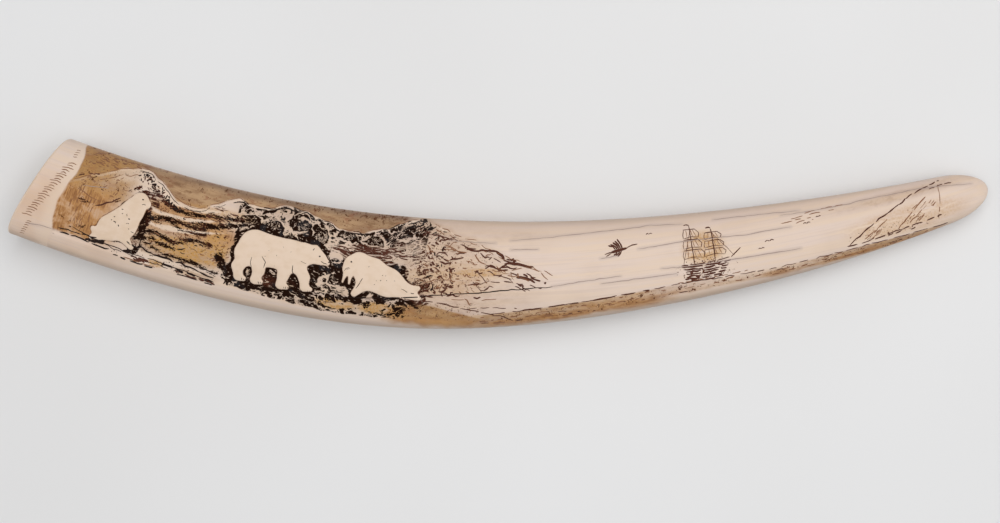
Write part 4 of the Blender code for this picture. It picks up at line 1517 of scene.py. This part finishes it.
    def iceberg(self, russet, brown):
        """Two leaning peaks of ice near the tip, with cracks, and water below."""
        russet.dashes([(444, -10.2), (453, -5.0), (462, -0.6), (470, 2.4), (480, 7.0)], 0.75, 14, 0.8, 0.25)
        russet.dashes([(480, 7.0), (486, 8.8), (493, 10.0), (501, 11.6)], 0.6, 7, 0.8, 0.25)
        brown.dashes([(499.5, 9.6), (498.6, 4.6), (497.6, 0.2), (495.8, -5.0)], 0.45, 7, 0.8, 0.12)
        brown.dashes([(472, -8.0), (478, -3.6), (485, 1.6), (491, 5.2)], 0.6, 9, 0.7, 0.12)
        brown.dashes([(453, -9.0), (460, -5.4), (467, -1.6)], 0.45, 6, 1.0, 0.12)
        russet.dashes([(443, -11.0), (458, -10.2), (470, -8.8), (484, -7.8), (497, -6.6)], 0.65, 5, 1.4, 0.16)
        for s, v, count in ((461, -7.2, 8), (482, -4.0, 12), (489, 0.6, 8)):
            brown.hatch(count, (s, v), (6, 1.8), 4.0, 0.35, 33, 0.05)
        russet.hatch(9, (470, -9.6), (20, 0.6), 2.6, 0.5, 6, 0.05)
        brown.specks(12, (474, -3), (18, 6), 0.35)
        for rise, start, end in ((0.0, 410, 430), (1.5, 416, 441), (3.0, 424, 447), (-1.3, 418, 428)):
            middle = (start + end) / 2
            brown.dashes([(start, 9.0 + rise), (middle, 9.5 + rise), (end, 8.8 + rise)], 0.42, 5, 3.5, 0.12)
        russet.dashes([(494, 8.2), (500, 9.0), (507, 8.4)], 0.5, 3, 1.4, 0.15)

    def shore(self, russet, brown):
        """The broken line that the shore hangs from, with dashes and tufts below it."""
        s = np.linspace(250, 500, 60)
        line = np.stack([s, ground_line(s)], -1)
        russet.dashes(line, 0.45, 6, 2.4, 0.2)
        russet.dashes(line[4:21], 0.8, 8, 5, 0.15)
        for strokes, count in ((russet, 14), (brown, 70)):
            for _ in range(count):
                s = 246 + 242 * strokes.random.uniform() ** 1.5
                v = ground_line(s) - strokes.random.uniform(0.1, 0.85) * ground_reach(s)
                half = strokes.random.uniform(0.6, 2.4)
                strokes.add([(s - half, v - 0.1), (s + half, v + 0.1)], strokes.random.uniform(0.3, 0.6))

    def brushing(self, brown):
        """Fine scratches across the brown ground at the left."""
        brown.hatch(36, (29.5, -3), (8, 11), 4.2, 0.3, 88, 0.08, on_land)
        brown.dashes([(24.5, 6.6), (31.5, 4.4), (38.5, 3.8)], 0.4, 14, 1)
        brown.hatch(12, (28, 16), (4.5, 7), 2.0, 0.45, 20, 0.3)


class MakeCracks(bpy.types.Operator):
    """Make the fine grey age cracks that run along the tusk"""

    bl_idname = "tusk.cracks"
    bl_label = "Age cracks"

    def execute(self, context):
        cracks = Strokes(9)
        for path, width in CRACKS:
            cracks.add(path, width, 0.12, 0.2)
        add_strokes(context, "Age_Cracks", cracks, context.scene.tusk_colours.crack)
        return {"FINISHED"}


def tusk_form(context):
    """The carved form, worked out once and kept for every operator."""
    if not FORM:
        FORM.append(TuskForm(context.scene.tusk_sizes).build())
    return FORM[0]


FORM = []

MAKERS = (MakeStage, MakeTusk, MakeBandMarks, MakeDarkLines, MakeBrownLines, MakeCracks)


class TuskPanel(bpy.types.Panel):
    """Lists the makers and their sizes and colours"""

    bl_idname = "TUSK_PT_panel"
    bl_label = "Scrimshaw tusk"
    bl_space_type = "VIEW_3D"
    bl_region_type = "UI"
    bl_category = "Tusk"

    def draw(self, context):
        layout = self.layout
        for group in (context.scene.tusk_sizes, context.scene.tusk_colours, context.scene.tusk_studio):
            column = layout.column()
            for name in group.__annotations__:
                column.prop(group, name)
        for operator in MAKERS:
            layout.operator(operator.bl_idname)


CLASSES = (TuskSizes, TuskColours, StudioSizes, *MAKERS, TuskPanel)


def register():
    for cls in CLASSES:
        bpy.utils.register_class(cls)
    bpy.types.Scene.tusk_sizes = bpy.props.PointerProperty(type=TuskSizes)
    bpy.types.Scene.tusk_colours = bpy.props.PointerProperty(type=TuskColours)
    bpy.types.Scene.tusk_studio = bpy.props.PointerProperty(type=StudioSizes)


def unregister():
    del bpy.types.Scene.tusk_sizes
    del bpy.types.Scene.tusk_colours
    del bpy.types.Scene.tusk_studio
    for cls in reversed(CLASSES):
        bpy.utils.unregister_class(cls)


def main():
    register()
    bpy.ops.tusk.stage()
    bpy.ops.tusk.skin()
    bpy.ops.tusk.band_marks()
    bpy.ops.tusk.dark_lines()
    bpy.ops.tusk.brown_lines()
    bpy.ops.tusk.cracks()


if __name__ == "__main__":
    main()
